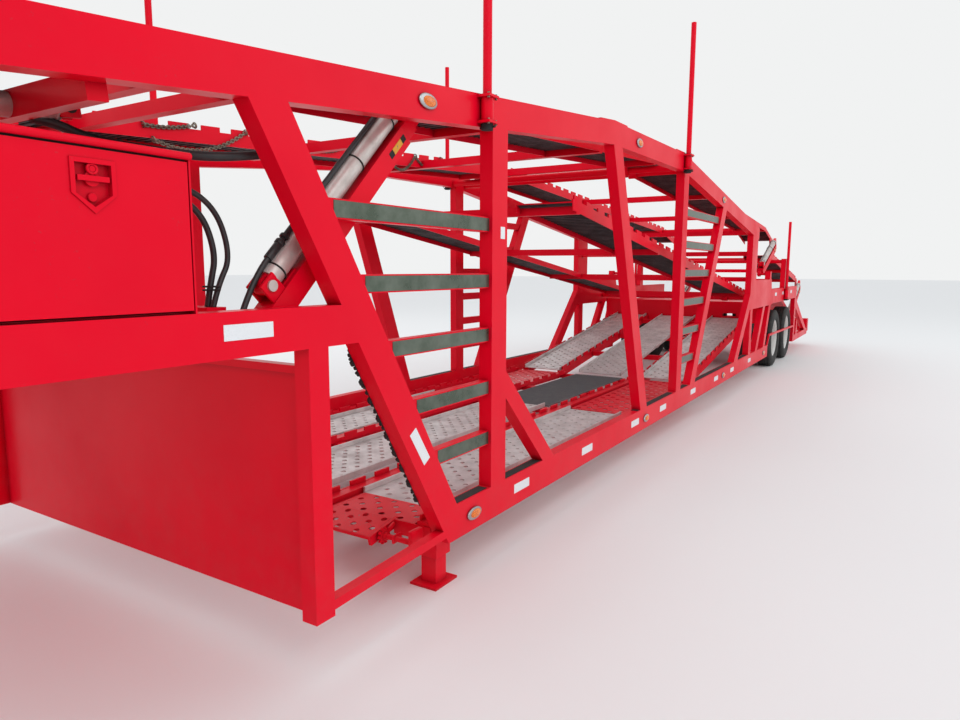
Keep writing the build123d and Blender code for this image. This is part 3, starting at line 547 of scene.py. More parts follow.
def fit_both(parts, name, finish, **more):
    """Joins parts made on the right side, mirrors them to the left one and fits the whole"""
    return fit(mirrored(joined(parts)), name, finish, **more)


def hose(name, radius, points, body="trailer", replaced=()):
    """A rubber hose that hangs between two ends, along a smooth line of control points"""
    deselect()
    bpy.ops.curve.primitive_nurbs_path_add(location=(0, 0, 0))
    piece = bpy.context.object
    curve = piece.data
    curve.splines.clear()
    spline = curve.splines.new("NURBS")
    spline.points.add(len(points) - 1)
    for point, place in zip(spline.points, points):
        point.co = (*place, 1.0)
    spline.use_endpoint_u = True
    spline.order_u = 3
    curve.bevel_depth = radius
    curve.bevel_resolution = 4
    curve.use_fill_caps = True
    curve.resolution_u = 12
    fit(piece, name, "hose_rubber", body, replaced, smooth=False)
    tuple(points[0])


def wheel_ends(wheel):
    """The four ends of the axles: name, side's sign and middle of the outer wheel"""
    for axle, station in (("front", wheel.front_axle), ("rear", wheel.rear_axle)):
        for side, sign in SIDES:
            yield f"{axle}_{side}", sign, Vector((station, sign * wheel.outer_y, wheel.axle_height))


# Operators


class TRAILER_OT_stage(bpy.types.Operator):
    """Adds the floor, the soft light and the camera"""

    bl_idname = "trailer.stage"
    bl_label = "Stage"

    def execute(self, context):
        stage = context.scene.trailer_stage
        deselect()
        bpy.ops.mesh.primitive_plane_add(size=stage.floor_size, location=(0, 0, 0))
        floor = context.object
        floor.name = "floor"
        fixed = {"Base Color": linear(stage.floor_hex), "Roughness": 0.9}
        floor.data.materials.append(new_material("pale concrete floor", fixed)[0])

        # a sky that lights evenly, and a plain one that is seen, mirrored and looked through
        world = bpy.data.worlds.new("studio")
        context.scene.world = world
        world.use_nodes = True
        world.node_tree.nodes.clear()
        add = functools.partial(add_node, world.node_tree)
        light = add("Background", {"Color": linear("#F2F5FA"), "Strength": stage.sky_strength})
        seen = add("Background", {"Color": linear("#F1F2F2"), "Strength": 1.0})
        path = add("LightPath").outputs
        shown = add("Math", {"operation": "MAXIMUM"}, {0: path["Is Camera Ray"], 1: path["Is Glossy Ray"]})
        shown = add("Math", {"operation": "MAXIMUM"}, {0: shown, 1: path["Is Transmission Ray"]})
        add("OutputWorld", links={0: add("MixShader", links={0: shown, 1: light, 2: seen})})

        # place, share of the key light's power, and what it is aimed at
        for name, place, share, aim in (
            ("key light", (-9.0, -13.0, 11.0), 1.0, (0.0, 0.0, 1.0)),
            ("fill light", (9.0, -14.0, 9.0), 0.45, (1.0, 0.0, 1.0)),
            ("back light", (2.0, 13.0, 10.0), 0.5, (0.0, 0.0, 1.0)),
        ):
            lamp = bpy.data.lights.new(name, "AREA")
            lamp.size = 9.0
            lamp.energy = stage.key_power * share
            holder = bpy.data.objects.new(name, lamp)
            context.collection.objects.link(holder)
            holder.location = place
            holder.rotation_euler = (Vector(aim) - Vector(place)).to_track_quat("-Z", "Y").to_euler()

        camera = bpy.data.cameras.new("camera")
        camera.sensor_width = 36.0
        camera.lens = stage.lens
        camera.clip_start = 0.02
        camera.clip_end = 500.0
        holder = bpy.data.objects.new("camera", camera)
        context.collection.objects.link(holder)
        # raised from straight down to the dip, turned to the heading, and leaned about the view itself
        quarter = math.radians(90)
        look = Euler((quarter - stage.camera_dip, 0, stage.camera_heading - quarter)).to_matrix().to_4x4()
        holder.matrix_world = (Matrix.Translation(stage.camera_place) @ look
                               @ Matrix.Rotation(stage.camera_roll, 4, "Z"))
        context.scene.camera = holder
        context.scene.view_settings.view_transform = "Standard"
        return {"FINISHED"}


class TRAILER_OT_finishes(bpy.types.Operator):
    """Makes the finishes and gives every carried-over piece its own"""

    bl_idname = "trailer.finishes"
    bl_label = "Finishes"

    def execute(self, context):
        paint = context.scene.trailer_paint
        materials = {
            # sprayed paints: glossy on the frame, less so on the wheels, dull on the axles and springs
            "red_paint": enamel_paint("red polyurethane enamel", paint.enamel_hex, paint.shade_hex, paint.primer_hex,
                                      paint.dust_hex),
            "wheel_steel": enamel_paint("white wheel enamel", "#D8D8D4", "#A9A9A4", "#6F6A68", "#8A8278", 0.35),
            "dark_iron": enamel_paint("black chassis paint", "#232323", "#151515", "#5A5450", "#6E675F", 0.5),
            # metals: the facing and the planks show rolling scratches, chrome mirrors what is round it,
            # phosphate looks pale and satin, and zinc dull and yellowish
            "galvanised_steel": metal("worn stainless facing", "#4E594C", "#737B70", 0.26, scratch=0.12, metallic=0.7),
            "aluminium_tracks": metal("rolled aluminium plank", "#DAD5D3", "#B7B0AE", 0.42, scratch=0.12,
                                      metallic=0.35),
            "bright_steel": metal("hard chromed rod", "#D6D8DA", "#BFC2C4", 0.12),
            "barrel": metal("phosphated cylinder steel", "#D3CDC8", "#A79E98", 0.3, metallic=0.45),
            "bezel": metal("chrome plated bezel", "#B4B6B8", "#8F9294", 0.2),
            "zinc": metal("zinc plated chain steel", "#908C7E", "#514D44", 0.38, metallic=0.85),
            "sheet": metal("dark galvanised sheet", "#4C5052", "#34383A", 0.5, spangle=0.2, metallic=0.5),
            # rubbers and gritty coatings: black and matt, with hoses a little shinier
            "tyre_rubber": rubber("tyre rubber", "#1B1B1C", "#4A4640"),
            "tread": rubber("carbon black tyre rubber", "#1C1C1D", "#4C4841"),
            "hose_rubber": rubber("hose rubber", "#222326", "#3E3C3A", 0.45),
            "grit": rubber("black anti-slip coating", "#1D1D1E", "#3B3936", 0.86),
            "mat": rubber("grey anti-slip mat", "#5C5E60", "#716F6B", 0.86),
            # lenses glow a little, film stays white at a slant, and the marks are scuffed
            "amber_lens": lens_plastic("amber acrylic lens", "#FF8A00"),
            "red_lens": lens_plastic("red acrylic lens", "#D00C14", "#6E0409"),
            "film": reflective_film("white reflective film"),
            "caution": caution_paint("yellow caution paint"),
        }
        # a finish that isn't a slot itself goes into the slot nearest to it
        slots = {"barrel": "bright_steel", "bezel": "bright_steel", "zinc": "galvanised_steel", "sheet": "dark_iron",
                 "tread": "tyre_rubber", "grit": "dark_iron", "mat": "dark_iron", "red_lens": "amber_lens",
                 "film": "wheel_steel", "caution": "amber_lens"}
        FINISHES.update({finish: (material, slots.get(finish, finish)) for finish, material in materials.items()})

        finish_of = {row["node"]: row["material_slot"] for row in frame["record"]["subparts"]}
        # a rung is a painted channel, and only its outer face is bright
        finish_of["ladder_rungs"] = "red_paint"
        for name in ("upper_cylinder_barrel", "rear_cylinder_barrel", "tail_cylinder_barrel", "slide_cylinder_barrels"):
            finish_of[name] = "barrel"
        for node, finish in finish_of.items():
            surfaces = frame["nodes"][node].data.materials
            surfaces.clear()
            surfaces.append(materials[finish])
        return {"FINISHED"}


class TRAILER_OT_tyres(bpy.types.Operator):
    """Adds ribbed tyres over the plain ones"""

    bl_idname = "trailer.tyres"
    bl_label = "Tyres"

    def execute(self, context):
        wheel = context.scene.trailer_wheels
        half, top, bead = wheel.tyre_width / 2, wheel.tyre_radius, wheel.rim_radius
        # casing from the inner bead over the sidewall to the shoulder
        side = [(half - 0.025, bead), (half - 0.012, bead + 0.012), (half - 0.004, bead + 0.04), (half, bead + 0.075),
                (half - 0.002, top - 0.06), (half - 0.01, top - 0.032), (half - 0.022, top - 0.012),
                (half - 0.034, top - 0.003)]
        # two grooves in each half of the tread, with sloping walls: share of the half width, and depth
        groove, deep, tread = 0.006, 0.013, top - 0.001
        profile = ((1, 0.0), (0.6, deep), (-0.6, deep), (-1, 0.0))
        grooves = [(middle + share * groove, tread - depth) for middle in (0.066, 0.022) for share, depth in profile]
        outer_half = side + grooves
        rings = outer_half + [(-across, radius) for across, radius in reversed(outer_half)] + [(half - 0.025, bead)]
        for end, sign, centre in wheel_ends(wheel):
            pair = [turned(rings, centre - Vector((0, sign * inset, 0))) for inset in (0.0, wheel.twin_spacing)]
            fit(joined(pair), f"ribbed_tyres_{end}", "tread", f"wheels_{end}", [f"tyres_{end}"])
        return {"FINISHED"}


class TRAILER_OT_wheels(bpy.types.Operator):
    """Adds dished disc wheels with hand holes, nuts and hubs"""

    bl_idname = "trailer.wheels"
    bl_label = "Wheels"

    def execute(self, context):
        wheel = context.scene.trailer_wheels
        rim = wheel.rim_radius
        # from the disc's bolting face out to the flange, over the bead seats and back
        disc_rings = [
            (-0.055, 0.11), (-0.055, 0.198), (-0.04, 0.236), (-0.034, rim - 0.038), (0.01, rim - 0.03),
            (0.062, rim - 0.026), (0.084, rim - 0.014), (0.096, rim), (0.1, rim + 0.007), (0.096, rim + 0.008),
            (0.092, rim - 0.0005), (-0.092, rim - 0.0005), (-0.096, rim + 0.008), (-0.1, rim + 0.007),
            (-0.096, rim - 0.004), (-0.084, rim - 0.014), (-0.05, rim - 0.026), (-0.048, rim - 0.04),
            (-0.067, 0.198), (-0.067, 0.11), (-0.055, 0.11),
        ]
        hub_rings = [(-0.064, 0.158), (-0.044, 0.156), (-0.042, 0.108), (0.02, 0.098), (0.052, 0.094), (0.058, 0.086),
                     (0.06, 0.04), (0.06, 0.004)]
        drum_rings = [(-0.02, 0.108), (-0.018, 0.205), (0.12, 0.205), (0.122, 0.108)]
        hole_circle, hole, reach = 0.222, 0.027, Vector((0, 0.12, 0))
        for end, sign, centre in wheel_ends(wheel):
            out = Vector((0, sign, 0))
            inner = centre - out * wheel.twin_spacing
            pieces = []
            for place, way in ((centre, -sign), (inner, sign)):
                disc = turned([(way * across, radius) for across, radius in disc_rings], place, 64)
                holes = [rod(spot - reach, spot + reach, hole, 20)
                         for spot in round_places(place, hole_circle, wheel.nuts, 0.5)]
                pieces.append(cut(disc, joined(holes)))
            for rings, place, way in ((hub_rings, centre, -sign), (drum_rings, inner, sign)):
                pieces.append(turned([(way * across, radius) for across, radius in rings], place, 48, True))
            # each nut has its stud's end on it
            for spot in round_places(centre, wheel.bolt_circle, wheel.nuts):
                pieces.append(rod(spot - 0.045 * out, spot - 0.02 * out, 0.017, 6))
                pieces.append(rod(spot - 0.022 * out, spot - 0.008 * out, 0.01, 12))
            fit(joined(pieces), f"disc_wheels_{end}", "wheel_steel", f"wheels_{end}", [f"wheel_{end}"])
        return {"FINISHED"}


class TRAILER_OT_planks(bpy.types.Operator):
    """Adds the perforated planks of the lower deck's floor and incline"""

    bl_idname = "trailer.planks"
    bl_label = "Planks"

    def execute(self, context):
        deck = context.scene.trailer_deck
        margin, end, wall = 0.045, 0.02, 0.012
        spans = [(-deck.track_out, -deck.track_in), (-deck.centre_half, deck.centre_half),
                 (deck.track_in, deck.track_out)]
        foot = deck.ramp_foot_height - deck.sheet
        for name, start, finish, node in (
            ("floor_planks", (deck.floor_start, deck.member_top), (deck.floor_end, deck.member_top), "floor_tracks"),
            ("incline_planks", (deck.ramp_start, foot), (deck.ramp_end, foot + deck.ramp_rise), "ramp_tracks"),
        ):
            line = Slope(start, finish)
            front, base = start
            rear, top = front + line.length, base + deck.sheet
            pieces = []
            for low, high in spans:
                pieces.append(perforated((front + end, low + margin, base), (rear - end, high - margin, top),
                                         deck.pitch, deck.hole))
                # plain margins with their lips, and the plain ends between them
                pieces += [block((front, y, base), (rear, y + margin, top)) for y in (low, high - margin)]
                pieces += [block((front, y, top), (rear, y + wall, base + deck.lip), 0.003)
                           for y in (low, high - wall)]
                pieces += [block((x, low + margin, base), (x + end, high - margin, top)) for x in (front, rear - end)]
            fit(line.tip(joined(pieces)), name, "aluminium_tracks", replaced=[node], smooth=False)
        return {"FINISHED"}


class TRAILER_OT_end_plates(bpy.types.Operator):
    """Adds the perforated red plates, the grey centre mat and the ratchets of the lower deck"""

    bl_idname = "trailer.end_plates"
    bl_label = "End plates"

    def execute(self, context):
        deck = context.scene.trailer_deck
        top, bottom = deck.member_top + deck.end_plate, deck.member_top
        sheet, strip, ease = 0.005, 0.02, 0.002
        # the sloping end plate is narrower than the flat one behind it, and its front edge is turned down
        front, rear, fall = -5.03, -4.84, 0.032
        low, high, narrow = deck.track_in + strip, deck.track_out + 0.06, 0.955
        line = Slope((front, top - fall), (rear, top))
        run, base = line.length, top - fall
        slope = [perforated((front, low + strip, base - sheet), (front + run, narrow - strip, base), deck.plate_pitch,
                            deck.plate_hole),
                 block((front, low, base - deck.end_plate), (front + run, low + strip, base), ease),
                 block((front, narrow - strip, base - 0.05), (front + run + 0.03, narrow, base), ease),
                 block((front - 0.004, low, base - 0.018), (front + 0.006, narrow, base), ease)]
        parts = [line.tip(joined(slope))]
        # flat end plate, with the beam's face under its front edge
        flat_end = rear + 0.24
        parts.append(perforated((rear, low + strip, top - sheet), (flat_end, high - strip, top), deck.plate_pitch,
                                deck.plate_hole))
        parts += [block((rear, y, bottom), (flat_end, y + strip, top), ease) for y in (low, high - strip)]
        parts.append(block((rear - 0.004, narrow - 0.004, top - 0.075), (rear + 0.004, 1.185, top), ease))
        # coarse plate between the floor and the incline, framed all round
        start, end = deck.floor_end + 0.01, deck.ramp_start - 0.02
        inner, outer = deck.track_in, deck.track_out
        parts.append(perforated((start + strip, inner + strip, top - sheet), (end - strip, outer - strip, top), 0.15,
                                0.026))
        parts += [block((start, y, bottom), (end, y + strip, top), ease) for y in (inner, outer - strip)]
        parts += [block((x, inner, bottom), (x + strip, outer, top), ease) for x in (start, end - strip)]
        fit_both(parts, "perforated_plates", "red_paint", replaced=["floor_grates"], smooth=False)

        # ratchet under each end plate: shaft, toothed wheel with its pawl, lugs and housing
        x, z, rail_face, thick = -4.95, deck.member_top - 0.035, 1.219, 0.014
        wheel_y, tip = narrow + 0.012, 0.036
        hub_y = wheel_y + thick
        parts = [rod((x, low + 0.04, z), (x, rail_face - 0.03, z), 0.014, 20),
                 rod((x, wheel_y, z), (x, hub_y, z), tip - 0.004, 36)]
        parts += [rod(spot, spot + Vector((0, thick, 0)), 0.009, 3)
                  for spot in round_places(Vector((x, wheel_y, z)), tip, 10)]
        parts.append(rod((x, hub_y, z), (x, wheel_y + 0.032, z), 0.021, 6))
        pawl = block((x + 0.02, wheel_y - 0.002, z + 0.03), (x + 0.085, wheel_y + 0.012, z + 0.046), 0.004)
        parts.append(tipped(pawl, (x + 0.085, 0, z + 0.038), math.radians(24)))
        parts += [block((x - 0.022, lug, z - 0.024), (x + 0.05, lug + 0.012, z + 0.02), 0.006)
                  for lug in (deck.track_in + 0.06, 1.04)]
        parts.append(block((x - 0.045, rail_face - 0.06, z - 0.03), (x + 0.045, rail_face - 0.03, z + 0.075), 0.008))
        fit_both(parts, "end_ratchets", "red_paint", replaced=["floor_grates"])

        # chequered mat between the tracks: a sheet with raised cross bars
        half, margin, pitch = deck.centre_half + 0.03, 0.03, 0.05
        mat = block((start, -half, bottom), (end, half, top), ease)
        bar = block((start + margin, -half + strip, top), (start + margin + 0.012, half - strip, top + 0.003), 0.001)
        bars = repeated(bar, int((end - start - 2 * margin) / pitch), (pitch, 0, 0))
        fit(joined([mat, bars]), "centre_mat", "mat", replaced=["floor_grates"], smooth=False)
        return {"FINISHED"}


class TRAILER_OT_lamps(bpy.types.Operator):
    """Adds oval marker lamps in bright bezels, ribbed tail lamps and blank reflective plates"""

    bl_idname = "trailer.lamps"
    bl_label = "Lamps"

    def execute(self, context):
        # outer face of the rails, and the oval marker lamps on the top rail and along the bottom one
        face, low_row = 1.295, 0.344
        bezel, depth, dome = (0.064, 0.033), 0.012, (0.046, 0.011, 0.023)
        lenses, bezels = [], []
        for x, z in ((-5.0, 2.304), (-2.29, 2.536), (0.52, 2.351), (-4.62, low_row), (-1.91, low_row), (0.9, low_row),
                     (3.51, low_row)):
            deselect()
            bpy.ops.mesh.primitive_cylinder_add(vertices=48, radius=1, depth=depth, location=(x, face + depth / 2, z),
                                                rotation=(math.radians(90), 0, 0), scale=(*bezel, 1))
            bezels.append(eased(baked(context.object), 0.005, 3))
            deselect()
            bpy.ops.mesh.primitive_uv_sphere_add(segments=32, ring_count=16, radius=1, scale=dome,
                                                 location=(x + 0.006, face + dome[1], z))
            lenses.append(baked(context.object))
            bpy.ops.object.mode_set(mode="EDIT")
            bpy.ops.mesh.select_all(action="SELECT")
            bpy.ops.mesh.bisect(plane_co=(x, face + dome[1], z), plane_no=(0, -1, 0), clear_outer=True, use_fill=True)
            bpy.ops.object.mode_set(mode="OBJECT")
        fit_both(lenses, "marker_lenses", "amber_lens", replaced=["marker_lamps"])
        fit_both(bezels, "marker_bezels", "bezel")

        rear, low, high = 8.7, 0.38, 0.48
        for name, inner, outer, finish in (("stop_lamps", 0.735, 0.915, "red_lens"),
                                           ("indicator_lamps", 0.955, 1.135, "amber_lens")):
            lens = block((rear - 0.0115, inner + 0.001, low + 0.001), (rear + 0.006, outer - 0.001, high - 0.001),
                         0.005)
            rib = block((rear + 0.004, inner + 0.012, low + 0.012), (rear + 0.008, inner + 0.017, high - 0.012), 0.001)
            fit_both([lens, repeated(rib, 14, (0, 0.0115, 0))], name, finish, replaced=["marker_lamps"])

        def plate(start, length, z):
            """A blank reflective plate on the rail's face"""
            half_height = 0.026
            return block((start, face - 0.001, z - half_height), (start + length, face + 0.0015, z + half_height),
                         0.0006)

        # height and length of each row of plates, and their middles along the rail
        rows = ((1.385, 0.2, (-5.99,)), (0.35, 0.18, (-4.1, -3.15, -2.17, -1.43, -0.42, 0.56, 1.39, 2.46)),
                (1.2, 0.16, (4.35, 5.05, 5.98)))
        plates = [plate(x - length / 2, length, z) for z, length, middles in rows for x in middles]
        # one leans on the front diagonal, and a small tag is on the first post
        leaning_start, leaning_z = -5.122, 0.872
        plates.append(tipped(plate(leaning_start, 0.19, leaning_z), (leaning_start, 0, leaning_z),
                             -math.atan2(0.2, 0.13)))
        plates.append(block((-4.362, face - 0.001, 1.744), (-4.318, face + 0.001, 1.806), 0.0004))
        fit_both(plates, "reflective_plates", "film", smooth=False)
        return {"FINISHED"}


class TRAILER_OT_ladders(bpy.types.Operator):
    """Adds the bright faces of the rungs, the black pads on the rails and the rack on the diagonals"""

    bl_idname = "trailer.ladders"
    bl_label = "Ladders"

    def execute(self, context):
        # each rung is cut off by a leaning post, so its free end depends on its height
        face, rung, edge = 1.275, 0.076, 0.006
        spans = [(high, -5.792 - 0.595 * (high - rung - 2.15) + 0.003, -4.446)
                 for high in (1.85, 1.566, 1.288, 1.01, 0.74)]
        spans += [(high, -0.888, -0.55 + 0.585 * (high - rung - 0.433) - 0.003)
                  for high in (2.16, 1.86, 1.59, 1.31, 1.03, 0.75)]
        faces = [block((start, face - 0.001, high - rung + edge), (end, face + 0.002, high - edge), 0.001)
                 for high, start, end in spans]
        fit_both(faces, "rung_faces", "galvanised_steel", smooth=False)

        pads = [block((start, 1.229, 0.4325), (end, 1.285, 0.4355), 0.001) for start, end in (
            (-4.82, -4.47), (-4.27, -3.85), (-2.1, -1.1), (-0.86, -0.58), (-0.34, 1.4), (1.8, 2.33))]
        fit_both(pads, "step_pads", "grit", smooth=False)

        # toothed rack inside the front edge of each diagonal
        line, back = Slope((-5.431, 1.267), (-4.956, 0.469)), 1.2195
        x, z = line.start
        parts = [block((x, 1.207, z - 0.008), (x + line.length, back, z + 0.02), 0.002)]
        # three rows of knobs out of step with each other
        for width, reach, pitch in ((0.016, 0.018, 0.033), (0.024, 0.025, 0.101), (0.012, 0.022, 0.071)):
            knob = block((x + pitch / 2, 1.205, z - reach), (x + pitch / 2 + width, back, z), 0.004)
            parts.append(repeated(knob, int((line.length - 0.01) / pitch), (pitch, 0, 0)))
        fit_both([line.tip(joined(parts))], "diagonal_racks", "grit", smooth=False)
        return {"FINISHED"}


class TRAILER_OT_lifts(bpy.types.Operator):
    """Adds clevises, straps and yellow marks to the lift legs, and the ends of the slide cylinders"""

    bl_idname = "trailer.lifts"
    bl_label = "Lift legs"

    def execute(self, context):
        # middle of the legs across, and the cylinder's height above the leg's middle and its radius
        leg_y, offset, barrel = 1.125, 0.096, 0.042
        for name, foot, head in (("upper", (-5.827, 1.34), (-4.882, 2.285)), ("rear", (3.8, 1.52), (5.05, 1.99)),
                                 ("tail", (6.95, 0.6), (8.3, 1.25))):
            line, body = Slope(foot, head), f"{name}_leg_outer"
            straps = [line.ring((u, leg_y, offset), barrel + 0.0015, 0.0035)
                      for u in (0.245, line.length - 0.47, line.length - 0.185)]
            fit_both(straps, f"{name}_leg_straps", "grit", body=body, slot="hose_rubber")
            # foot clevis of the cylinder: eye, neck, two cheeks and the pin's heads
            eye = 0.168
            parts = [line.rod((eye, leg_y - 0.024, offset), (eye, leg_y + 0.024, offset), 0.036, 32),
                     line.rod((eye, leg_y, offset), (0.205, leg_y, offset), 0.034, 32)]
            parts += [line.block((0.128, y, 0.04), (0.208, y + 0.014, offset + 0.032), 0.004)
                      for y in (leg_y - 0.042, leg_y + 0.028)]
            fit_both(parts, f"{name}_leg_clevises", "red_paint", body=body)
            gland = line.length - 0.15
            pins = [line.rod((eye, leg_y - 0.05, offset), (eye, leg_y + 0.05, offset), 0.021, 28),
                    line.rod((gland, leg_y, offset), (gland + 0.011, leg_y, offset), barrel + 0.002, 40)]
            fit_both(pins, f"{name}_leg_pins", "barrel", body=body)
            # narrow yellow mark with black ends on the leg's outer face
            out, middle, half = leg_y + 0.0445, line.length - 0.235, 0.014
            for words, finish, spans in (("marks", "caution", ((-0.038, 0.038),)),
                                         ("mark_ends", "grit", ((-0.071, -0.039), (0.039, 0.071)))):
                marks = [line.block((middle + low, out, -half), (middle + high, out + 0.002, half), 0.0006)
                         for low, high in spans]
                fit_both(marks, f"{name}_leg_{words}", finish, body=body, smooth=False)

        # slide cylinders: seal bands, a head that passes the bracket, and a clevis with its pin
        line, y, w, radius = Slope((-8.64, 2.04), (-5.75, 2.334)), 0.79, -0.19, 0.038
        steel = [line.rod((2.26, y, w), (2.345, y, w), radius, 40)]
        steel += [line.ring((u, y, w), radius, wire) for u, wire in ((2.33, 0.004), (1.16, 0.005))]
        fit_both(steel, "slide_cylinder_heads", "barrel")
        dark = [line.ring((u, y, w), radius + 0.0005, 0.006) for u in (1.3, 2.12)]
        dark.append(line.rod((2.372, y - 0.04, w), (2.372, y + 0.04, w), 0.016, 28))
        fit_both(dark, "slide_cylinder_bands", "grit")
        cheeks = [line.block((2.335, side_y, w - 0.03), (2.405, side_y + 0.014, w + 0.034), 0.006)
                  for side_y in (y - 0.034, y + 0.02)]
        fit_both(cheeks, "slide_clevises", "red_paint")
        return {"FINISHED"}


class TRAILER_OT_hoses(bpy.types.Operator):
    """Adds the hoses behind the lockers and along the upper legs, with their fittings, ties and boots"""

    bl_idname = "trailer.hoses"
    bl_label = "Hoses"

    def execute(self, context):
        # locker's rear wall, shelf on the neck and the place on it where its two hoses end
        wall, shelf, landing = -6.18, 1.452, -5.925
        high_inner, high_outer = 1.85, 1.878
        leg, offset = Slope((-5.827, 1.34), (-4.882, 2.285)), 0.1494
        for side, sign in SIDES:
            inner, outer, leg_y = sign * 1.0, sign * 1.031, sign * 1.125
            # swaged ends at the locker's wall
            ends = joined([rod((wall - 0.001, y, z), (wall + 0.03, y, z), 0.016, 6)
                           for y, z in ((inner, high_inner), (outer, high_outer))])
            fit(ends, f"hose_fittings_{side}", "barrel", smooth=False)
            tie = joined([ring((landing + 0.008, (inner + outer) / 2, z), (0, 0, 1), 0.0285, 0.003)
                          for z in (1.512, 1.524)])
            fit(tie, f"hose_ties_{side}", "grit", slot="hose_rubber")
            # boot with two collars, where the leg's hose meets the cylinder's foot
            boot = eased(joined([leg.rod((start, leg_y, offset), (end, leg_y, offset), radius, 24)
                                 for start, end, radius in ((0.25, 0.33, 0.0165), (0.325, 0.345, 0.019),
                                                            (0.36, 0.375, 0.018))]), 0.003)
            fit(boot, f"hose_boots_{side}", "hose_rubber", "upper_leg_outer")
            hose(f"locker_hose_inner_{side}", 0.011,
                 [(wall, inner, high_inner), (-6.08, inner, high_inner), (-5.935, inner, 1.79), (-5.88, inner, 1.64),
                  (-5.91, inner, 1.53), (landing, inner, shelf)], replaced=["hydraulic_hoses"])
            hose(f"locker_hose_outer_{side}", 0.01,
                 [(wall, outer, high_outer), (-6.07, outer, high_outer), (-5.9, outer, 1.81), (-5.84, outer, 1.63),
                  (-5.9, outer, 1.53), (landing, outer, shelf)])
            hose(f"slide_hose_{side}", 0.016, [(x, sign * y, z) for x, y, z in (
                (-6.366, 0.79, 2.045), (-6.3, 0.79, 2.045), (-6.22, 0.84, 2.0), (-6.1, 0.97, 1.972),
                (-5.98, 1.085, 1.958), (-5.87, 1.13, 1.97), (-5.79, 1.16, 1.985), (-5.76, 1.2185, 1.99))])
            hose(f"leg_hose_{side}", 0.011,
                 [*(leg.at(u, leg_y, offset) for u in (1.1504, 0.38, 0.14)), (-5.9, leg_y, 1.38)],
                 "upper_leg_outer", ["upper_leg_hoses"])
        return {"FINISHED"}


class TRAILER_OT_chains(bpy.types.Operator):
    """Adds the tie-down chains that hang on the upper deck, with the rings that hold them"""

    bl_idname = "trailer.chains"
    bl_label = "Chains"

    def execute(self, context):
        y, wire, step, hung = 0.592, 0.0036, 0.0175, []
        # both ends of each chain, and how far it hangs
        for start, end, fall in (((-5.108, 2.385), (-4.775, 2.435), 0.014), ((-5.05, 2.312), (-4.4, 2.455), 0.085),
                                 ((-3.9, 2.46), (-3.45, 2.515), 0.05), ((-3.0, 2.53), (-2.6, 2.55), 0.13),
                                 ((-2.6, 2.55), (-2.22, 2.575), 0.09)):
            ends = [Vector((x, y, z)) for x, z in (start, end)]
            hung.append(chain(sag(*ends, fall, step), wire))
            hung += [ring(place, (1, 0, 0.3), 0.016, 0.004, 20) for place in ends]
        fit(joined(hung), "tie_down_chains", "zinc", "upper_deck")
        return {"FINISHED"}


class TRAILER_OT_undersides(bpy.types.Operator):
    """Adds the dark ribbed sheets under the platforms' skids"""

    bl_idname = "trailer.undersides"
    bl_label = "Undersides"

    def execute(self, context):
        # edges of a skid, depth of its plate, and the spacing of the ribs under it
        inner, outer, plate, pitch = 0.608, 1.052, 0.008, 0.06
        for body, points in (
            ("front_deck", [(-8.64, 2.04), (-5.75, 2.334)]),
            ("upper_deck", [(-5.62, 2.347), (-1.02, 2.612)]),
            ("rear_deck", [(-0.908, 2.612), (4.5, 2.262), (5.25, 2.08)]),
            ("middle_deck", [(-2.95, 2.062), (3.2, 1.238)]),
            ("tail_deck", [(5.2, 1.83), (8.4, 1.38)]),
        ):
            sheets = []
            for start, end in zip(points, points[1:]):
                line, (x, z) = Slope(start, end), start
                base = z - plate
                sheet = block((x + 0.01, inner, base - 0.003), (x + line.length - 0.01, outer, base))
                rib = block((x + 0.03, inner, base - 0.014), (x + 0.055, outer, base - 0.002), 0.004)
                ribs = repeated(rib, int((line.length - pitch) / pitch), (pitch, 0, 0))
                sheets.append(line.tip(joined([sheet, ribs])))
            fit_both(sheets, f"{body}_ribbed_sheets", "sheet", body=body, smooth=False)
        return {"FINISHED"}


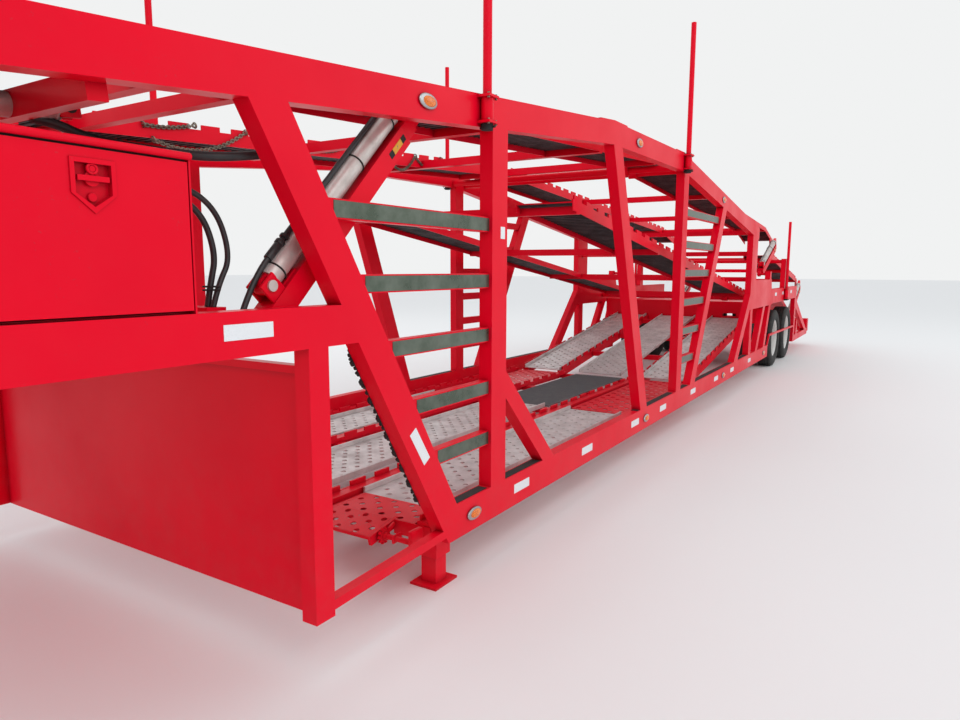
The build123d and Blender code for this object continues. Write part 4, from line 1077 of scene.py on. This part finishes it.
class TRAILER_OT_small_parts(bpy.types.Operator):
    """Adds pole sleeves and clamps, lock cylinders, lid edges and bolts"""

    bl_idname = "trailer.small_parts"
    bl_label = "Small parts"

    def execute(self, context):
        pole_y = 1.325
        bolt_y = pole_y + 0.028
        sleeves, clamps, bolts = [], [], []
        # place along the trailer, undersides of both collars
        for x, low, high in ((-4.55, 2.2847, 2.4047), (-1.05, 2.4857, 2.6057), (5.2, 1.1, 1.26)):
            sleeves.append(rod((x, pole_y, low + 0.012), (x, pole_y, high), 0.031, 32))
            clamps.append(rod((x, pole_y, low - 0.03), (x, pole_y, low), 0.029, 32))
            clamps.append(rod((x, pole_y - 0.04, low - 0.016), (x, pole_y + 0.045, low - 0.016), 0.006, 12))
            bolts += [rod((bolt_x, bolt_y, collar - 0.007), (bolt_x, bolt_y, collar + 0.019), 0.007, 6)
                      for collar in (low, high) for bolt_x in (x - 0.034, x + 0.034)]
        fit_both(sleeves, "pole_sleeves", "red_paint")
        fit_both(clamps, "pole_clamps", "grit")
        fit_both(bolts, "pole_bolts", "zinc", smooth=False)

        # lock cylinder in its collar, and above it the ring on its stem and pivot
        door, lock_z, stem_z, ring_z = 1.281, 1.772, 1.824, 1.845
        for side, sign in SIDES:
            parts = []
            for x in (-7.05, -6.47):
                parts += [rod((x, door - 0.001, lock_z), (x, door + 0.007, lock_z), 0.0105, 24),
                          ring((x, door + 0.004, lock_z), (0, 1, 0), 0.0105, 0.0018, 24),
                          rod((x, door + 0.006, stem_z), (x, door + 0.006, stem_z + 0.011), 0.006, 12),
                          ring((x, door + 0.01, ring_z), (0, 1, 0), 0.0125, 0.0042, 28),
                          rod((x, door - 0.001, ring_z), (x, door + 0.012, ring_z), 0.008, 20)]
            lock = joined(parts)
            if sign < 0:
                lock.scale.y = -1
                faced(baked(lock))
            fit(lock, f"lock_cylinders_{side}", "red_paint", f"locker_door_{side}")

        # rolled outer edge of each locker's lid, and the rubber strip under it, 8 mm shorter at each end
        front, rear, roll_y, roll_z = -7.402, -6.178, 1.2945, 1.914
        roll = rod((front, roll_y, roll_z), (rear, roll_y, roll_z), 0.011, 24)
        fit_both([eased(roll, 0.003)], "lid_rolls", "red_paint")
        strip = block((front + 0.008, 1.266, 1.8985), (rear - 0.008, 1.28, 1.9075), 0.002)
        fit_both([strip], "lid_seals", "grit", slot="hose_rubber")
        return {"FINISHED"}


class TRAILER_PT_panel(bpy.types.Panel):
    """Lists the steps and settings of the trailer"""

    bl_label = "Trailer"
    bl_idname = "TRAILER_PT_panel"
    bl_space_type = "VIEW_3D"
    bl_region_type = "UI"
    bl_category = "Trailer"

    def draw(self, context):
        for operator in OPERATORS:
            self.layout.operator(operator.bl_idname)
        for group in GROUPS:
            settings = getattr(context.scene, group)
            for name in settings.__annotations__:
                self.layout.prop(settings, name)


GROUPS = {"trailer_stage": StageSettings, "trailer_paint": PaintSettings, "trailer_deck": DeckSettings,
          "trailer_wheels": WheelSettings}
OPERATORS = (
    TRAILER_OT_stage, TRAILER_OT_finishes, TRAILER_OT_tyres, TRAILER_OT_wheels, TRAILER_OT_planks,
    TRAILER_OT_end_plates, TRAILER_OT_lamps, TRAILER_OT_ladders, TRAILER_OT_lifts, TRAILER_OT_hoses,
    TRAILER_OT_chains, TRAILER_OT_undersides, TRAILER_OT_small_parts,
)
CLASSES = (*GROUPS.values(), *OPERATORS, TRAILER_PT_panel)


def register():
    for cls in CLASSES:
        bpy.utils.register_class(cls)
    for name, group in GROUPS.items():
        setattr(bpy.types.Scene, name, PointerProperty(type=group))


def unregister():
    for name in GROUPS:
        delattr(bpy.types.Scene, name)
    for cls in reversed(CLASSES):
        bpy.utils.unregister_class(cls)


def dress_trailer():
    """Runs every step in order"""
    register()
    bpy.ops.trailer.stage()
    bpy.ops.trailer.finishes()
    bpy.ops.trailer.tyres()
    bpy.ops.trailer.wheels()
    bpy.ops.trailer.planks()
    bpy.ops.trailer.end_plates()
    bpy.ops.trailer.lamps()
    bpy.ops.trailer.ladders()
    bpy.ops.trailer.lifts()
    bpy.ops.trailer.hoses()
    bpy.ops.trailer.chains()
    bpy.ops.trailer.undersides()
    bpy.ops.trailer.small_parts()


if __name__ == "__main__":
    dress_trailer()
